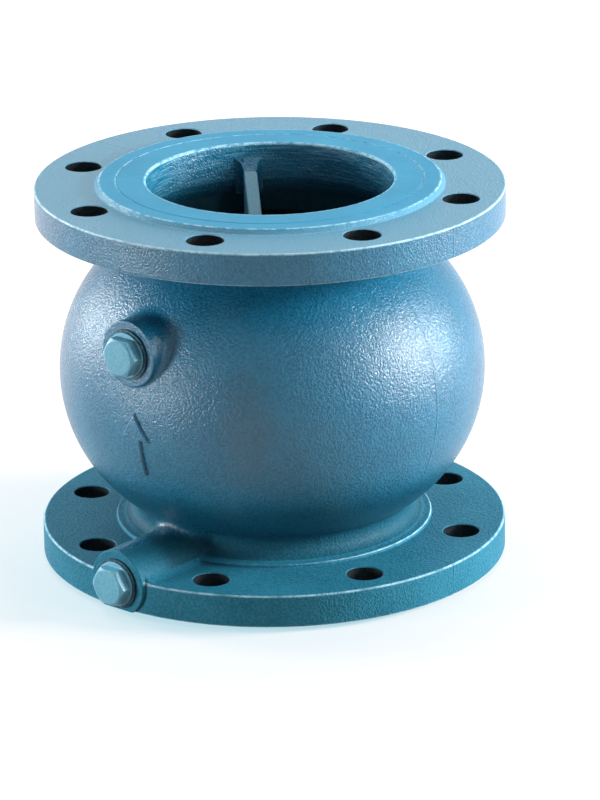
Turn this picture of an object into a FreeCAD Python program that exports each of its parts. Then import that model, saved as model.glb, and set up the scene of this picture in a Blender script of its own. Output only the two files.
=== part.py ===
import FreeCAD, Part
import math
import os
import Sketcher

# Silent check valve, DN 150, with flanges for PN 16.
# The flow runs up along +Z. The origin is the centre of the inlet's raised face, and the
# two taps point along -Y. All sizes are in millimetres.

SIZES = {
    # casting: flanges
    "face_to_face": 238,
    "flange_radius": 142.5,
    "rim_thickness": 20,
    "rim_edge": 1.2,
    "raised_radius": 106,
    "raised_height": 3,
    "raised_slope": 2.5,
    "face_groove_radius": 93,
    "face_groove_depth": 0.6,
    "step_radius": 97,
    "step_height": 2,
    "bolt_circle_radius": 120,
    "inlet_hole_radius": 11,
    "outlet_hole_radius": 11.2,
    "bolt_count": 8,
    # casting: globe and waterway
    "globe_radius": 130,
    "globe_arc": 98,
    "neck_fillet": 8,
    "wall": 10,
    "bore_radius": 75,
    "throat_depth": 23,
    "throat_flare": 10,
    "throat_relief": 4,
    # casting: guide hub and its ribs
    "hub_radius": 26,
    "hub_bottom": 104,
    "hub_height": 50,
    "rib_count": 3,
    "rib_turn": 21,
    "rib_thickness": 8.5,
    "rib_top_drop": 9,
    "rib_slope": 1.4,
    "rib_lift": 2,
    "rib_foot": 61,
    "rib_root": 5,
    "rib_flare": 4.4,
    "rib_flare_edge": 1,
    "rib_trim_gap": 0.5,
    # casting: taps
    "boss_radius": 20.3,
    "boss_edge": 0.3,
    "boss_fillet": 1,
    "saddle_fillet": 9,
    "saddle_overlap": 0.1,
    "upper_tap_rise": 41,
    "upper_tap_inset": 0.5,
    "lower_tap_drop": 3.6,
    "lower_tap_proud": 1.1,
    "tap_radius": 10.5,
    "tap_depth": 15,
    "passage_radius": 4.5,
    # screw plugs and their washers
    "thread_clearance": 0.1,
    "plug_shank": 12,
    "plug_lead": 1,
    "plug_collar_radius": 13.8,
    "plug_collar": 1.5,
    "plug_across_flats": 22,
    "plug_head": 6.5,
    "plug_head_edge": 0.6,
    "washer_radius": 15.3,
    "washer_thickness": 1.5,
    # seat ring
    "seat_height": 52,
    "lip_width": 4,
    "lip_height": 2,
    "ring_height": 28,
    "nose_height": 14,
    "ring_thread_radius": 79.5,
    "ring_wall": 13.5,
    "ring_step": 4.9,
    "nose_clearance": 0.4,
    "entry_relief": 1.5,
    "seat_floor": 8,
    "spider_hub_radius": 15.5,
    "spider_hub_bottom": 10,
    "spider_gap": 3,
    "arm_count": 3,
    "arm_thickness": 9,
    "arm_overlap": 2.5,
    "arm_rise": 0.5,
    "arm_drop": 4,
    "o_ring_inset": 1.2,
    "o_ring_groove_width": 2.9,
    "o_ring_groove_depth": 2.2,
    "lock_screw_radius": 3,
    "lock_screw_length": 8,
    "lock_screw_socket": 1.5,
    # stem and its guides
    "stem_radius": 9,
    "stem_bottom": 3,
    "stem_top": 164,
    "stem_edge": 1.5,
    "guide_clearance": 0.06,
    "bush_wall": 3,
    "bush_collar": 2,
    "hub_counterbore_radius": 20.5,
    "hub_counterbore_depth": 18,
    # disc, its seal and its fasteners
    "lift": 30,
    "disc_skirt": 2.5,
    "skirt_gap": 0.5,
    "disc_thickness": 9,
    "sleeve_radius": 14,
    "spring_seat_depth": 4,
    "spring_seat_radius": 21,
    "seal_thickness": 5,
    "seal_inset": 8,
    "seal_margin": 1,
    "retainer_inset": 2,
    "retainer_thickness": 5,
    "retainer_screw_count": 6,
    "retainer_screw_circle": 40,
    "retainer_screw_radius": 3,
    "retainer_screw_depth": 6,
    "retainer_hole_spare": 1,
    "retainer_screw_head_radius": 5,
    "retainer_screw_head": 3.5,
    "screw_clearance": 0.3,
    "pin_radius": 2.5,
    "pin_height": 80,
    "pin_inset": 0.5,
    # spring and its washer
    "spring_radius": 17.3,
    "wire_radius": 1.75,
    "spring_turns": 5,
    "spring_gap": 0.2,
    "seat_gap": 0.05,
    "press_gap": 0.01,
    # how near an edge must be to the place where it is looked for
    "edge_search": 0.01,
}

doc = FreeCAD.newDocument("silent_check_valve")
sheet = doc.addObject("Spreadsheet::Sheet", "dims")
for row, (alias, value) in enumerate(SIZES.items(), start=1):
    sheet.set("A%d" % row, alias.replace("_", " "))
    sheet.set("B%d" % row, str(value))
    sheet.setAlias("B%d" % row, alias)
doc.recompute()


# Helpers

def size(expression):
    """The value of an expression on the sheet, as a plain number."""
    return float(sheet.evalExpression(str(expression)))


def start_part(label):
    body = doc.addObject("PartDesign::Body", label)
    body.Label = label
    return body


def start_sketch(body, name, plane, offset="0", turn="0"):
    """A sketch on one of the body's origin planes, moved along that plane's normal and
    turned about the vertical axis."""
    drawing = body.newObject("Sketcher::SketchObject", name)
    support = next(f for f in body.Origin.OriginFeatures if f.Role == plane)
    drawing.AttachmentSupport = [(support, "")]
    drawing.MapMode = "FlatFace"
    upright = FreeCAD.Vector(0, 0, 1) if plane == "XY_Plane" else FreeCAD.Vector(0, 1, 0)
    drawing.AttachmentOffset = FreeCAD.Placement(
        FreeCAD.Vector(0, 0, size(offset)), FreeCAD.Rotation(upright, size(turn)))
    drawing.setExpression("AttachmentOffset.Base.z", offset)
    if turn != "0":
        drawing.setExpression("AttachmentOffset.Rotation.Angle", turn)
    return drawing


def bind(drawing, constraint, expression):
    index = drawing.addConstraint(constraint)
    drawing.setExpression("Constraints[%d]" % index, expression)


def pin_point(drawing, geometry, end, across, up):
    """Ties a point of the sketch to two expressions, measured from the origin."""
    bind(drawing, Sketcher.Constraint("DistanceX", -1, 1, geometry, end, size(across)), across)
    bind(drawing, Sketcher.Constraint("DistanceY", -1, 1, geometry, end, size(up)), up)


def draw_outline(drawing, corners):
    """A closed outline. A corner is (across, up), or (across, up, radius, turn) where the
    way to it is an arc that turns left (1) or right (-1)."""
    points = [FreeCAD.Vector(size(c[0]), size(c[1]), 0) for c in corners]
    count = len(corners)
    for i, corner in enumerate(corners):
        start = points[i - 1]
        end = points[i]
        if len(corner) == 2:
            edge = drawing.addGeometry(Part.LineSegment(start, end))
            pin_point(drawing, edge, 2, corner[0], corner[1])
            continue
        radius = size(corner[2])
        chord = end - start
        side = FreeCAD.Vector(-chord.y, chord.x, 0).normalize() * corner[3]
        rise = math.sqrt(radius ** 2 - chord.Length ** 2 / 4)
        centre = (start + end) / 2 + side * rise
        first, last = (start, end) if corner[3] > 0 else (end, start)
        angles = [math.atan2(p.y - centre.y, p.x - centre.x) for p in (first, last)]
        circle = Part.Circle(centre, FreeCAD.Vector(0, 0, 1), radius)
        edge = drawing.addGeometry(Part.ArcOfCircle(circle, angles[0], angles[1]))
        bind(drawing, Sketcher.Constraint("Radius", edge, radius), corner[2])
        pin_point(drawing, edge, 2 if corner[3] > 0 else 1, corner[0], corner[1])

    def ends(i):
        turns_right = len(corners[i]) == 4 and corners[i][3] < 0
        return (2, 1) if turns_right else (1, 2)

    for i in range(count):
        drawing.addConstraint(Sketcher.Constraint(
            "Coincident", i, ends(i)[1], (i + 1) % count, ends((i + 1) % count)[0]))


def draw_circle(drawing, radius, across="0", up="0"):
    centre = FreeCAD.Vector(size(across), size(up), 0)
    edge = drawing.addGeometry(Part.Circle(centre, FreeCAD.Vector(0, 0, 1), size(radius)))
    pin_point(drawing, edge, 3, across, up)
    bind(drawing, Sketcher.Constraint("Radius", edge, size(radius)), radius)


def revolve(body, name, corners, cut=False):
    """Turns an outline of (radius, height) corners about the vertical axis."""
    drawing = start_sketch(body, name + "_outline", "XZ_Plane")
    draw_outline(drawing, corners)
    kind = "PartDesign::Groove" if cut else "PartDesign::Revolution"
    feature = body.newObject(kind, name)
    feature.Profile = drawing
    feature.ReferenceAxis = (drawing, ["V_Axis"])
    feature.Angle = 360
    doc.recompute()
    return feature


def extrude(body, name, drawing, length, cut=False, midplane=False, back=False):
    """Pads or pockets a sketch. back sends it against the sketch's normal."""
    kind = "PartDesign::Pocket" if cut else "PartDesign::Pad"
    feature = body.newObject(kind, name)
    feature.Profile = drawing
    feature.SideType = "Symmetric" if midplane else "One side"
    feature.Reversed = back
    feature.setExpression("Length", length)
    doc.recompute()
    return feature


def repeat(body, name, features, count):
    """Copies features round the vertical axis, evenly spaced."""
    pattern = body.newObject("PartDesign::PolarPattern", name)
    pattern.Originals = features
    vertical = next(f for f in body.Origin.OriginFeatures if f.Role == "Z_Axis")
    pattern.Axis = (vertical, [""])
    pattern.Angle = 360
    pattern.setExpression("Occurrences", count)
    body.Tip = pattern
    doc.recompute()
    return pattern


def round_edges_at(feature, radius, heights):
    """Names of the circular edges of a feature at a radius and at any of some heights."""
    names = []
    near = size("dims.edge_search")
    for number, edge in enumerate(feature.Shape.Edges, start=1):
        curve = edge.Curve
        if not isinstance(curve, Part.Circle) or abs(curve.Radius - radius) > near:
            continue
        if abs(curve.Axis.x) + abs(curve.Axis.y) > near:
            continue
        if min(abs(curve.Center.z - height) for height in heights) < near:
            names.append("Edge%d" % number)
    return names


def chamfer(body, name, base, names, amount):
    feature = body.newObject("PartDesign::Chamfer", name)
    feature.Base = (base, names)
    feature.setExpression("Size", amount)
    doc.recompute()
    return feature


def fillet(body, name, base, names, amount):
    feature = body.newObject("PartDesign::Fillet", name)
    feature.Base = (base, names)
    feature.setExpression("Radius", amount)
    doc.recompute()
    return feature


# Heights and radii that several pieces share, worked out from the sheet

RIM_BACK = "(dims.raised_height + dims.rim_thickness)"
STEP_TOP = "(dims.raised_height + dims.rim_thickness + dims.step_height)"
MIDDLE = "(dims.face_to_face / 2)"
OUTLET = "dims.face_to_face"
RAISED_TOP = "(dims.raised_radius - dims.raised_slope)"
FACE_GROOVE = [
    ("dims.face_groove_radius - dims.face_groove_depth", "0"),
    ("dims.face_groove_radius", "dims.face_groove_depth"),
    ("dims.face_groove_radius + dims.face_groove_depth", "0"),
]
GLOBE_CENTRE = "(dims.globe_radius - dims.globe_arc)"
CORE_ARC = "(dims.globe_arc - dims.wall)"
HUB_TOP = "(dims.hub_bottom + dims.hub_height)"
COUNTERBORE_TOP = "(dims.hub_bottom + dims.hub_counterbore_depth)"
UPPER_STOP = "(dims.hub_bottom + dims.hub_counterbore_depth - dims.bush_collar)"
BUSH_RADIUS = "(dims.stem_radius + dims.bush_wall)"
GUIDE_BORE = "(dims.stem_radius + dims.guide_clearance)"
PLATE_BOTTOM = "(dims.seat_height + dims.seal_thickness)"
PLATE_TOP = "(dims.seat_height + dims.seal_thickness + dims.disc_thickness)"
SPRING_FOOT = "(%s - dims.spring_seat_depth)" % PLATE_TOP
SLEEVE_TOP = "(%s - dims.lift)" % UPPER_STOP
RETAINER_BOTTOM = "(dims.seat_height - dims.retainer_thickness)"
SCREW_HEAD_BOTTOM = "(%s - dims.retainer_screw_head)" % RETAINER_BOTTOM
RELIEF_RADIUS = "(dims.bore_radius + dims.throat_relief)"
RELIEF_BOTTOM = "(%s + sqrt(%s ^ 2 - (%s - %s) ^ 2))" % (
    MIDDLE, CORE_ARC, RELIEF_RADIUS, GLOBE_CENTRE)
RIB_TOP = "(dims.face_to_face - dims.rib_top_drop)"
UPPER_TAP_HEIGHT = "(%s + dims.upper_tap_rise)" % MIDDLE
UPPER_TAP_REACH = "(dims.globe_radius - dims.upper_tap_inset)"
LOWER_TAP_HEIGHT = "(%s - dims.lower_tap_drop)" % RIM_BACK
LOWER_TAP_REACH = "(dims.flange_radius + dims.lower_tap_proud)"
TAPS = (("upper", UPPER_TAP_HEIGHT, UPPER_TAP_REACH),
        ("lower", LOWER_TAP_HEIGHT, LOWER_TAP_REACH))
RING_BOTTOM = "(dims.seat_height - dims.ring_height)"
RING_SHOULDER = "(dims.seat_height - dims.nose_height)"
SEAT_BORE = "(dims.ring_thread_radius - dims.ring_wall)"
LIP_RADIUS = "(%s + dims.lip_width)" % SEAT_BORE
NOSE_RADIUS = "(dims.ring_thread_radius - dims.ring_step)"
FLOOR_BORE = "(%s + dims.nose_clearance)" % NOSE_RADIUS
ENTRY_RADIUS = "(dims.ring_thread_radius + dims.entry_relief)"
SPIDER_TOP = "(%s - dims.spider_gap)" % RETAINER_BOTTOM
SEAL_INNER = "(%s - dims.seal_inset)" % SEAT_BORE
SEAL_OUTER = "(%s + dims.seal_margin)" % LIP_RADIUS
DISC_RADIUS = "(%s + dims.disc_skirt)" % SEAL_OUTER
RETAINER_RADIUS = "(%s - dims.retainer_inset)" % SEAT_BORE
SCREW_STEP = "(180 deg / dims.retainer_screw_count)"
SCREW_PLACE = ("dims.retainer_screw_circle * cos(%s)" % SCREW_STEP,
               "dims.retainer_screw_circle * sin(%s)" % SCREW_STEP)


# Casting

def neck_points():
    """The neck's blend: its centre radius, and where it meets the globe, from the middle."""
    rise = "(%s - %s - dims.neck_fillet)" % (MIDDLE, STEP_TOP)
    span = "(dims.globe_arc + dims.neck_fillet)"
    run = "sqrt(%s ^ 2 - %s ^ 2)" % (span, rise)
    centre = "(%s + %s)" % (GLOBE_CENTRE, run)
    share = "dims.globe_arc / %s" % span
    meet_radius = "(%s + %s * %s)" % (GLOBE_CENTRE, run, share)
    meet_rise = "(%s * %s)" % (rise, share)
    return centre, meet_radius, meet_rise


def core_radius_at(rise):
    """Radius of the globe's inner wall at a height above or below its middle."""
    return "(%s + sqrt(%s ^ 2 - (%s) ^ 2))" % (GLOBE_CENTRE, CORE_ARC, rise)


def make_saddle(body):
    """Blends the lower boss into the flange's back, from the rim in to the neck."""
    reach = "(dims.boss_radius + dims.saddle_fillet)"
    rise = "(%s + dims.saddle_fillet - %s)" % (RIM_BACK, LOWER_TAP_HEIGHT)
    run = "sqrt(%s ^ 2 - %s ^ 2)" % (reach, rise)
    share = "dims.boss_radius / %s" % reach
    side = "%s * %s" % (run, share)
    shoulder = "%s + %s * %s" % (LOWER_TAP_HEIGHT, rise, share)
    inside = "%s - dims.step_height" % RIM_BACK
    outer = "(dims.flange_radius - dims.rim_edge)"
    start = "(sqrt(%s ^ 2 - %s ^ 2) - dims.saddle_overlap)" % (outer, run)
    drawing = start_sketch(body, "saddle_outline", "XZ_Plane", start)
    draw_outline(drawing, [
        ("0 - " + run, inside),
        (run, inside),
        (run, RIM_BACK),
        (side, shoulder, "dims.saddle_fillet", -1),
        ("0 - " + side, shoulder, "dims.boss_radius", 1),
        ("0 - " + run, RIM_BACK, "dims.saddle_fillet", -1),
    ])
    extrude(body, "saddle", drawing, "%s - %s" % (start, ENTRY_RADIUS), back=True)


def turn_block(body):
    """The casting's outer form, without its bosses: two flanges, two necks and the globe."""
    neck, meet_radius, meet_rise = neck_points()
    low = "(%s - %s)" % (MIDDLE, meet_rise)
    high = "(%s + %s)" % (MIDDLE, meet_rise)
    lower_half = [("0", "0")] + FACE_GROOVE + [
        (RAISED_TOP, "0"),
        ("dims.raised_radius", "dims.raised_height"),
        ("dims.flange_radius", "dims.raised_height"),
        ("dims.flange_radius", RIM_BACK),
        ("dims.step_radius", RIM_BACK),
        ("dims.step_radius", STEP_TOP),
        (neck, STEP_TOP),
    ]
    upper_half = [(r, "(%s - %s)" % (OUTLET, z)) for r, z in reversed(lower_half)]
    neck_top = upper_half.pop(0)
    outline = lower_half + [
        (meet_radius, low, "dims.neck_fillet", -1),
        (meet_radius, high, "dims.globe_arc", 1),
        neck_top + ("dims.neck_fillet", -1),
    ] + upper_half
    block = revolve(body, "block", outline)
    rims = round_edges_at(block, size("dims.flange_radius"), [
        size("dims.raised_height"), size(RIM_BACK),
        size("%s - %s" % (OUTLET, RIM_BACK)), size("%s - dims.raised_height" % OUTLET)])
    chamfer(body, "rim_edges", block, rims, "dims.rim_edge")


def add_bosses(body):
    """The upper boss ends inside the globe, and the lower one runs in to the neck."""
    drawing = start_sketch(body, "upper_boss_circle", "XZ_Plane", UPPER_TAP_REACH)
    draw_circle(drawing, "dims.boss_radius", "0", UPPER_TAP_HEIGHT)
    upper_boss = extrude(body, "upper_boss", drawing, UPPER_TAP_REACH + " / 2", back=True)
    roots = []
    for number, edge in enumerate(upper_boss.Shape.Edges, start=1):
        near = edge.BoundBox.YMax < 0 and edge.BoundBox.XLength < size("dims.boss_radius * 3")
        if near and isinstance(edge.Curve, Part.BSplineCurve):
            roots.append("Edge%d" % number)
    fillet(body, "upper_boss_root", upper_boss, roots, "dims.boss_fillet")
    make_saddle(body)
    drawing = start_sketch(body, "lower_boss_circle", "XZ_Plane", LOWER_TAP_REACH)
    draw_circle(drawing, "dims.boss_radius", "0", LOWER_TAP_HEIGHT)
    extrude(body, "lower_boss", drawing, LOWER_TAP_REACH + " / 2", back=True)

    # The inlet flange is machined flat again under the lower boss.
    below = "(0 - dims.boss_radius)"
    faced = revolve(body, "faced_inlet", [
        ("0", "0"),
        ("0", below),
        (LOWER_TAP_REACH + " * 2", below),
        (LOWER_TAP_REACH + " * 2", "dims.raised_height"),
        ("dims.raised_radius", "dims.raised_height"),
        (RAISED_TOP, "0"),
    ] + FACE_GROOVE[::-1], cut=True)
    near = size("dims.edge_search")
    edges = []
    for number, edge in enumerate(faced.Shape.Edges, start=1):
        if isinstance(edge.Curve, Part.Circle):
            if min(abs(edge.Curve.Center.y + size(reach)) for _, _, reach in TAPS) < near:
                edges.append("Edge%d" % number)
    chamfer(body, "boss_edges", faced, edges, "dims.boss_edge")


def cut_waterway(body):
    """Inlet, seat thread, seat floor, globe and outlet throat."""
    floor_top = "(%s + dims.seat_floor)" % RING_SHOULDER
    throat_end = "(%s - dims.throat_depth)" % OUTLET
    revolve(body, "waterway", [
        ("0", "0 - dims.wall"),
        (ENTRY_RADIUS, "0 - dims.wall"),
        (ENTRY_RADIUS, RING_BOTTOM),
        ("dims.ring_thread_radius", RING_BOTTOM),
        ("dims.ring_thread_radius", RING_SHOULDER),
        (FLOOR_BORE, RING_SHOULDER),
        (FLOOR_BORE, floor_top),
        (core_radius_at("%s - %s" % (MIDDLE, floor_top)), floor_top),
        (RELIEF_RADIUS, RELIEF_BOTTOM, CORE_ARC, 1),
        (RELIEF_RADIUS, "%s - dims.throat_flare" % throat_end),
        ("dims.bore_radius", throat_end),
        ("dims.bore_radius", "%s + dims.wall" % OUTLET),
        ("0", "%s + dims.wall" % OUTLET),
    ], cut=True)


def add_ribs(body):
    """Guide ribs: each runs from the outlet throat down and in to the hub."""
    inner = "(dims.hub_radius - dims.rib_thickness)"
    foot_rise = "(dims.hub_bottom + dims.rib_foot - %s)" % MIDDLE
    foot_radius = "(%s + dims.rib_root)" % core_radius_at(foot_rise)
    shoulder_radius = "(%s + dims.rib_root)" % RELIEF_RADIUS
    drawing = start_sketch(body, "rib_side", "XZ_Plane", turn="dims.rib_turn")
    draw_outline(drawing, [
        (inner, "dims.hub_bottom + dims.rib_lift"),
        (foot_radius, "dims.hub_bottom + dims.rib_foot"),
        (shoulder_radius, RELIEF_BOTTOM),
        (shoulder_radius, RIB_TOP),
        ("dims.bore_radius", RIB_TOP),
        (inner, "%s - (dims.bore_radius - %s) * dims.rib_slope" % (RIB_TOP, inner)),
    ])
    rib = extrude(body, "rib", drawing, "dims.rib_thickness", midplane=True)
    half = "(dims.rib_thickness / 2)"
    wide = "(%s + dims.rib_flare)" % half
    flare_out = "(dims.bore_radius - dims.rib_flare_edge)"
    flare_in = "(%s - dims.rib_flare)" % flare_out
    drawing = start_sketch(body, "rib_root_plan", "XY_Plane", RIB_TOP, turn="dims.rib_turn")
    draw_outline(drawing, [
        (flare_in, "0 - " + half),
        (flare_out, "0 - " + wide, "dims.rib_flare", -1),
        ("dims.bore_radius + dims.rib_root", "0 - " + wide),
        ("dims.bore_radius + dims.rib_root", wide),
        (flare_out, wide),
        (flare_in, half, "dims.rib_flare", -1),
    ])
    root = extrude(body, "rib_root", drawing, "dims.throat_depth", back=True)
    drawing = start_sketch(body, "rib_trim_side", "XZ_Plane", turn="dims.rib_turn")
    trim_in = "(%s - dims.rib_flare)" % flare_in
    trim_out = "(dims.bore_radius - dims.rib_trim_gap)"
    slope = "%s - (dims.bore_radius - %s) * dims.rib_slope"
    draw_outline(drawing, [
        (trim_in, slope % (RIB_TOP, trim_in)),
        (trim_out, slope % (RIB_TOP, trim_out)),
        (trim_out, "%s + dims.rib_flare" % RIB_TOP),
        (trim_in, "%s + dims.rib_flare" % RIB_TOP),
    ])
    trim = extrude(body, "rib_trim", drawing, "dims.rib_thickness * 3", cut=True, midplane=True)
    repeat(body, "ribs", [rib, root, trim], "dims.rib_count")


def add_hub(body):
    """The guide hub, bored for the upper bush and, wider, for the spring."""
    drawing = start_sketch(body, "hub_circle", "XY_Plane", "dims.hub_bottom")
    draw_circle(drawing, "dims.hub_radius")
    extrude(body, "hub", drawing, "dims.hub_height")
    revolve(body, "hub_bore", [
        ("0", "dims.hub_bottom - dims.wall"),
        ("dims.hub_counterbore_radius", "dims.hub_bottom - dims.wall"),
        ("dims.hub_counterbore_radius", COUNTERBORE_TOP),
        (BUSH_RADIUS, COUNTERBORE_TOP),
        (BUSH_RADIUS, "%s + dims.wall" % HUB_TOP),
        ("0", "%s + dims.wall" % HUB_TOP),
    ], cut=True)


def drill_bolt_holes(body):
    """Bolt holes of both flanges, off the centre lines."""
    holes = []
    for name, height in (("inlet_hole", RIM_BACK),
                         ("outlet_hole", "%s - dims.raised_height" % OUTLET)):
        drawing = start_sketch(body, name + "_circle", "XY_Plane", height)
        half_step = "(180 deg / dims.bolt_count)"
        draw_circle(drawing, "dims.%s_radius" % name,
                    "dims.bolt_circle_radius * cos(%s)" % half_step,
                    "dims.bolt_circle_radius * sin(%s)" % half_step)
        holes.append(extrude(body, name, drawing, "dims.rim_thickness", cut=True))
    repeat(body, "bolt_holes", holes, "dims.bolt_count")


def drill_taps(body):
    """Each tap is a threaded mouth and a narrower passage to the waterway."""
    for side, tap_height, reach in TAPS:
        for name, radius, depth in (
                ("mouth", "dims.tap_radius", "dims.tap_depth"),
                ("passage", "dims.passage_radius", "%s - dims.bore_radius" % reach)):
            drawing = start_sketch(body, "%s_tap_%s_circle" % (side, name), "XZ_Plane", reach)
            draw_circle(drawing, radius, "0", tap_height)
            extrude(body, "%s_tap_%s" % (side, name), drawing, depth, cut=True)


def drill_lock_holes(body):
    """Half of each seat lock screw's hole lies in the casting and half in the ring."""
    drawing = start_sketch(body, body.Label + "_lock_circle", "XY_Plane", RING_BOTTOM)
    draw_circle(drawing, "dims.lock_screw_radius + dims.seat_gap", "dims.ring_thread_radius")
    hole = extrude(body, body.Label + "_lock_hole", drawing, "dims.lock_screw_length",
                   cut=True, back=True)
    repeat(body, body.Label + "_lock_holes", [hole], "dims.arm_count")


def make_casting():
    body = start_part("body")
    turn_block(body)
    add_bosses(body)
    cut_waterway(body)
    add_ribs(body)
    add_hub(body)
    drill_bolt_holes(body)
    drill_taps(body)
    drill_lock_holes(body)
    return body


# Taps' plugs and washers

def make_plug(label, height, reach):
    """A screw plug with a hexagon head. It is drawn upright and laid along -Y."""
    body = start_part(label)
    shank = "(dims.tap_radius - dims.thread_clearance)"
    collar_top = "dims.plug_collar"
    revolve(body, label + "_turned", [
        ("0", "0 - dims.plug_shank"),
        (shank + " - dims.plug_lead", "0 - dims.plug_shank"),
        (shank, "dims.plug_lead - dims.plug_shank"),
        (shank, "0"),
        ("dims.plug_collar_radius", "0"),
        ("dims.plug_collar_radius", collar_top),
        ("0", collar_top),
    ])
    drawing = start_sketch(body, label + "_hexagon", "XY_Plane", collar_top)
    corner = "dims.plug_across_flats / 2 / cos(30 deg)"
    draw_outline(drawing, [
        ("%s * cos(%d deg)" % (corner, angle), "%s * sin(%d deg)" % (corner, angle))
        for angle in range(0, 360, 60)])
    extrude(body, label + "_head", drawing, "dims.plug_head")
    top = "(dims.plug_collar + dims.plug_head)"
    flat = "(dims.plug_across_flats / 2 - dims.plug_head_edge)"
    far = "(%s + dims.plug_head)" % flat
    revolve(body, label + "_head_edge", [
        (flat, top),
        (far, "%s - dims.plug_head * tan(30 deg)" % top),
        (far, top),
    ], cut=True)
    body.Placement = FreeCAD.Placement(
        FreeCAD.Vector(0, 0, 0), FreeCAD.Rotation(FreeCAD.Vector(1, 0, 0), 90))
    body.setExpression("Placement.Base.y", "0 - %s - dims.washer_thickness" % reach)
    body.setExpression("Placement.Base.z", height)
    return body


def make_plug_washer(label, height, reach):
    washer = start_part(label)
    inner = "(dims.tap_radius + dims.thread_clearance)"
    revolve(washer, label + "_turned", [
        (inner, "0"),
        ("dims.washer_radius", "0"),
        ("dims.washer_radius", "dims.washer_thickness"),
        (inner, "dims.washer_thickness"),
    ])
    washer.Placement = FreeCAD.Placement(
        FreeCAD.Vector(0, 0, 0), FreeCAD.Rotation(FreeCAD.Vector(1, 0, 0), 90))
    washer.setExpression("Placement.Base.y", "0 - " + reach)
    washer.setExpression("Placement.Base.z", height)
    return washer


# Seat ring, with the spider that carries the lower guide

def make_seat_ring():
    body = start_part("seat_ring")
    thread = "(dims.ring_thread_radius - dims.thread_clearance)"
    groove_in = "(%s + dims.o_ring_inset)" % NOSE_RADIUS
    groove_out = "(%s + dims.o_ring_groove_width)" % groove_in
    groove_floor = "(%s - dims.o_ring_groove_depth)" % RING_SHOULDER
    revolve(body, "ring", [
        (SEAT_BORE, RING_BOTTOM),
        (thread, RING_BOTTOM),
        (thread, RING_SHOULDER),
        (groove_out, RING_SHOULDER),
        (groove_out, groove_floor),
        (groove_in, groove_floor),
        (groove_in, RING_SHOULDER),
        (NOSE_RADIUS, RING_SHOULDER),
        (NOSE_RADIUS, "dims.seat_height - dims.lip_height"),
        (LIP_RADIUS, "dims.seat_height - dims.lip_height"),
        (LIP_RADIUS, "dims.seat_height"),
        (SEAT_BORE, "dims.seat_height"),
    ])
    arm_in = "dims.spider_hub_radius - dims.arm_overlap"
    arm_bottom = RING_BOTTOM + " + dims.arm_rise"
    arm_top = SPIDER_TOP + " - dims.arm_drop"
    drawing = start_sketch(body, "arm_side", "XZ_Plane")
    draw_outline(drawing, [
        (arm_in, arm_bottom),
        (LIP_RADIUS, arm_bottom),
        (LIP_RADIUS, arm_top),
        (arm_in, arm_top),
    ])
    arm = extrude(body, "arm", drawing, "dims.arm_thickness", midplane=True)
    repeat(body, "arms", [arm], "dims.arm_count")
    drawing = start_sketch(body, "spider_hub_circle", "XY_Plane", "dims.spider_hub_bottom")
    draw_circle(drawing, "dims.spider_hub_radius")
    extrude(body, "spider_hub", drawing, SPIDER_TOP + " - dims.spider_hub_bottom")
    revolve(body, "spider_bore", [
        ("0", "dims.spider_hub_bottom - dims.bush_collar"),
        (BUSH_RADIUS, "dims.spider_hub_bottom - dims.bush_collar"),
        (BUSH_RADIUS, SPIDER_TOP + " + dims.bush_collar"),
        ("0", SPIDER_TOP + " + dims.bush_collar"),
    ], cut=True)
    drill_lock_holes(body)
    return body


def make_seat_o_ring():
    body = start_part("seat_o_ring")
    half_depth = "(dims.o_ring_groove_depth / 2)"
    middle = "(%s + dims.o_ring_inset + dims.o_ring_groove_width / 2)" % NOSE_RADIUS
    drawing = start_sketch(body, "o_ring_section", "XZ_Plane")
    draw_circle(drawing, half_depth + " - dims.seat_gap", middle,
                RING_SHOULDER + " - " + half_depth)
    feature = body.newObject("PartDesign::Revolution", "o_ring_turn")
    feature.Profile = drawing
    feature.ReferenceAxis = (drawing, ["V_Axis"])
    feature.Angle = 360
    doc.recompute()
    return body


def make_seat_lock_screws():
    """Grub screws that lie half in the ring and half in the casting."""
    body = start_part("seat_lock_screws")
    drawing = start_sketch(body, "lock_screw_circle", "XY_Plane", RING_BOTTOM)
    draw_circle(drawing, "dims.lock_screw_radius", "dims.ring_thread_radius")
    screw = extrude(body, "lock_screw", drawing, "dims.lock_screw_length - dims.seat_gap")
    drawing = start_sketch(body, "lock_socket_hexagon", "XY_Plane", RING_BOTTOM)
    draw_outline(drawing, [
        ("dims.ring_thread_radius + dims.lock_screw_socket * cos(%d deg)" % angle,
         "dims.lock_screw_socket * sin(%d deg)" % angle)
        for angle in range(0, 360, 60)])
    socket = extrude(body, "lock_socket", drawing, "dims.lock_screw_length / 2",
                     cut=True, back=True)
    repeat(body, "lock_screw_set", [screw, socket], "dims.arm_count")
    return body


# Guide bushes

def make_bush(label, bottom, top):
    """A plain bush with a collar at its foot, pressed into its hub from below. bottom and
    top bound the hub's bore."""
    body = start_part(label)
    collar = "(%s + dims.bush_collar)" % BUSH_RADIUS
    outer = "(%s - dims.press_gap)" % BUSH_RADIUS
    foot = "%s - dims.bush_collar" % bottom
    revolve(body, label + "_turned", [
        (GUIDE_BORE, foot),
        (collar, foot),
        (collar, bottom),
        (outer, bottom),
        (outer, top),
        (GUIDE_BORE, top),
    ])
    return body


# Disc, stem and what is fixed to them

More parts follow.
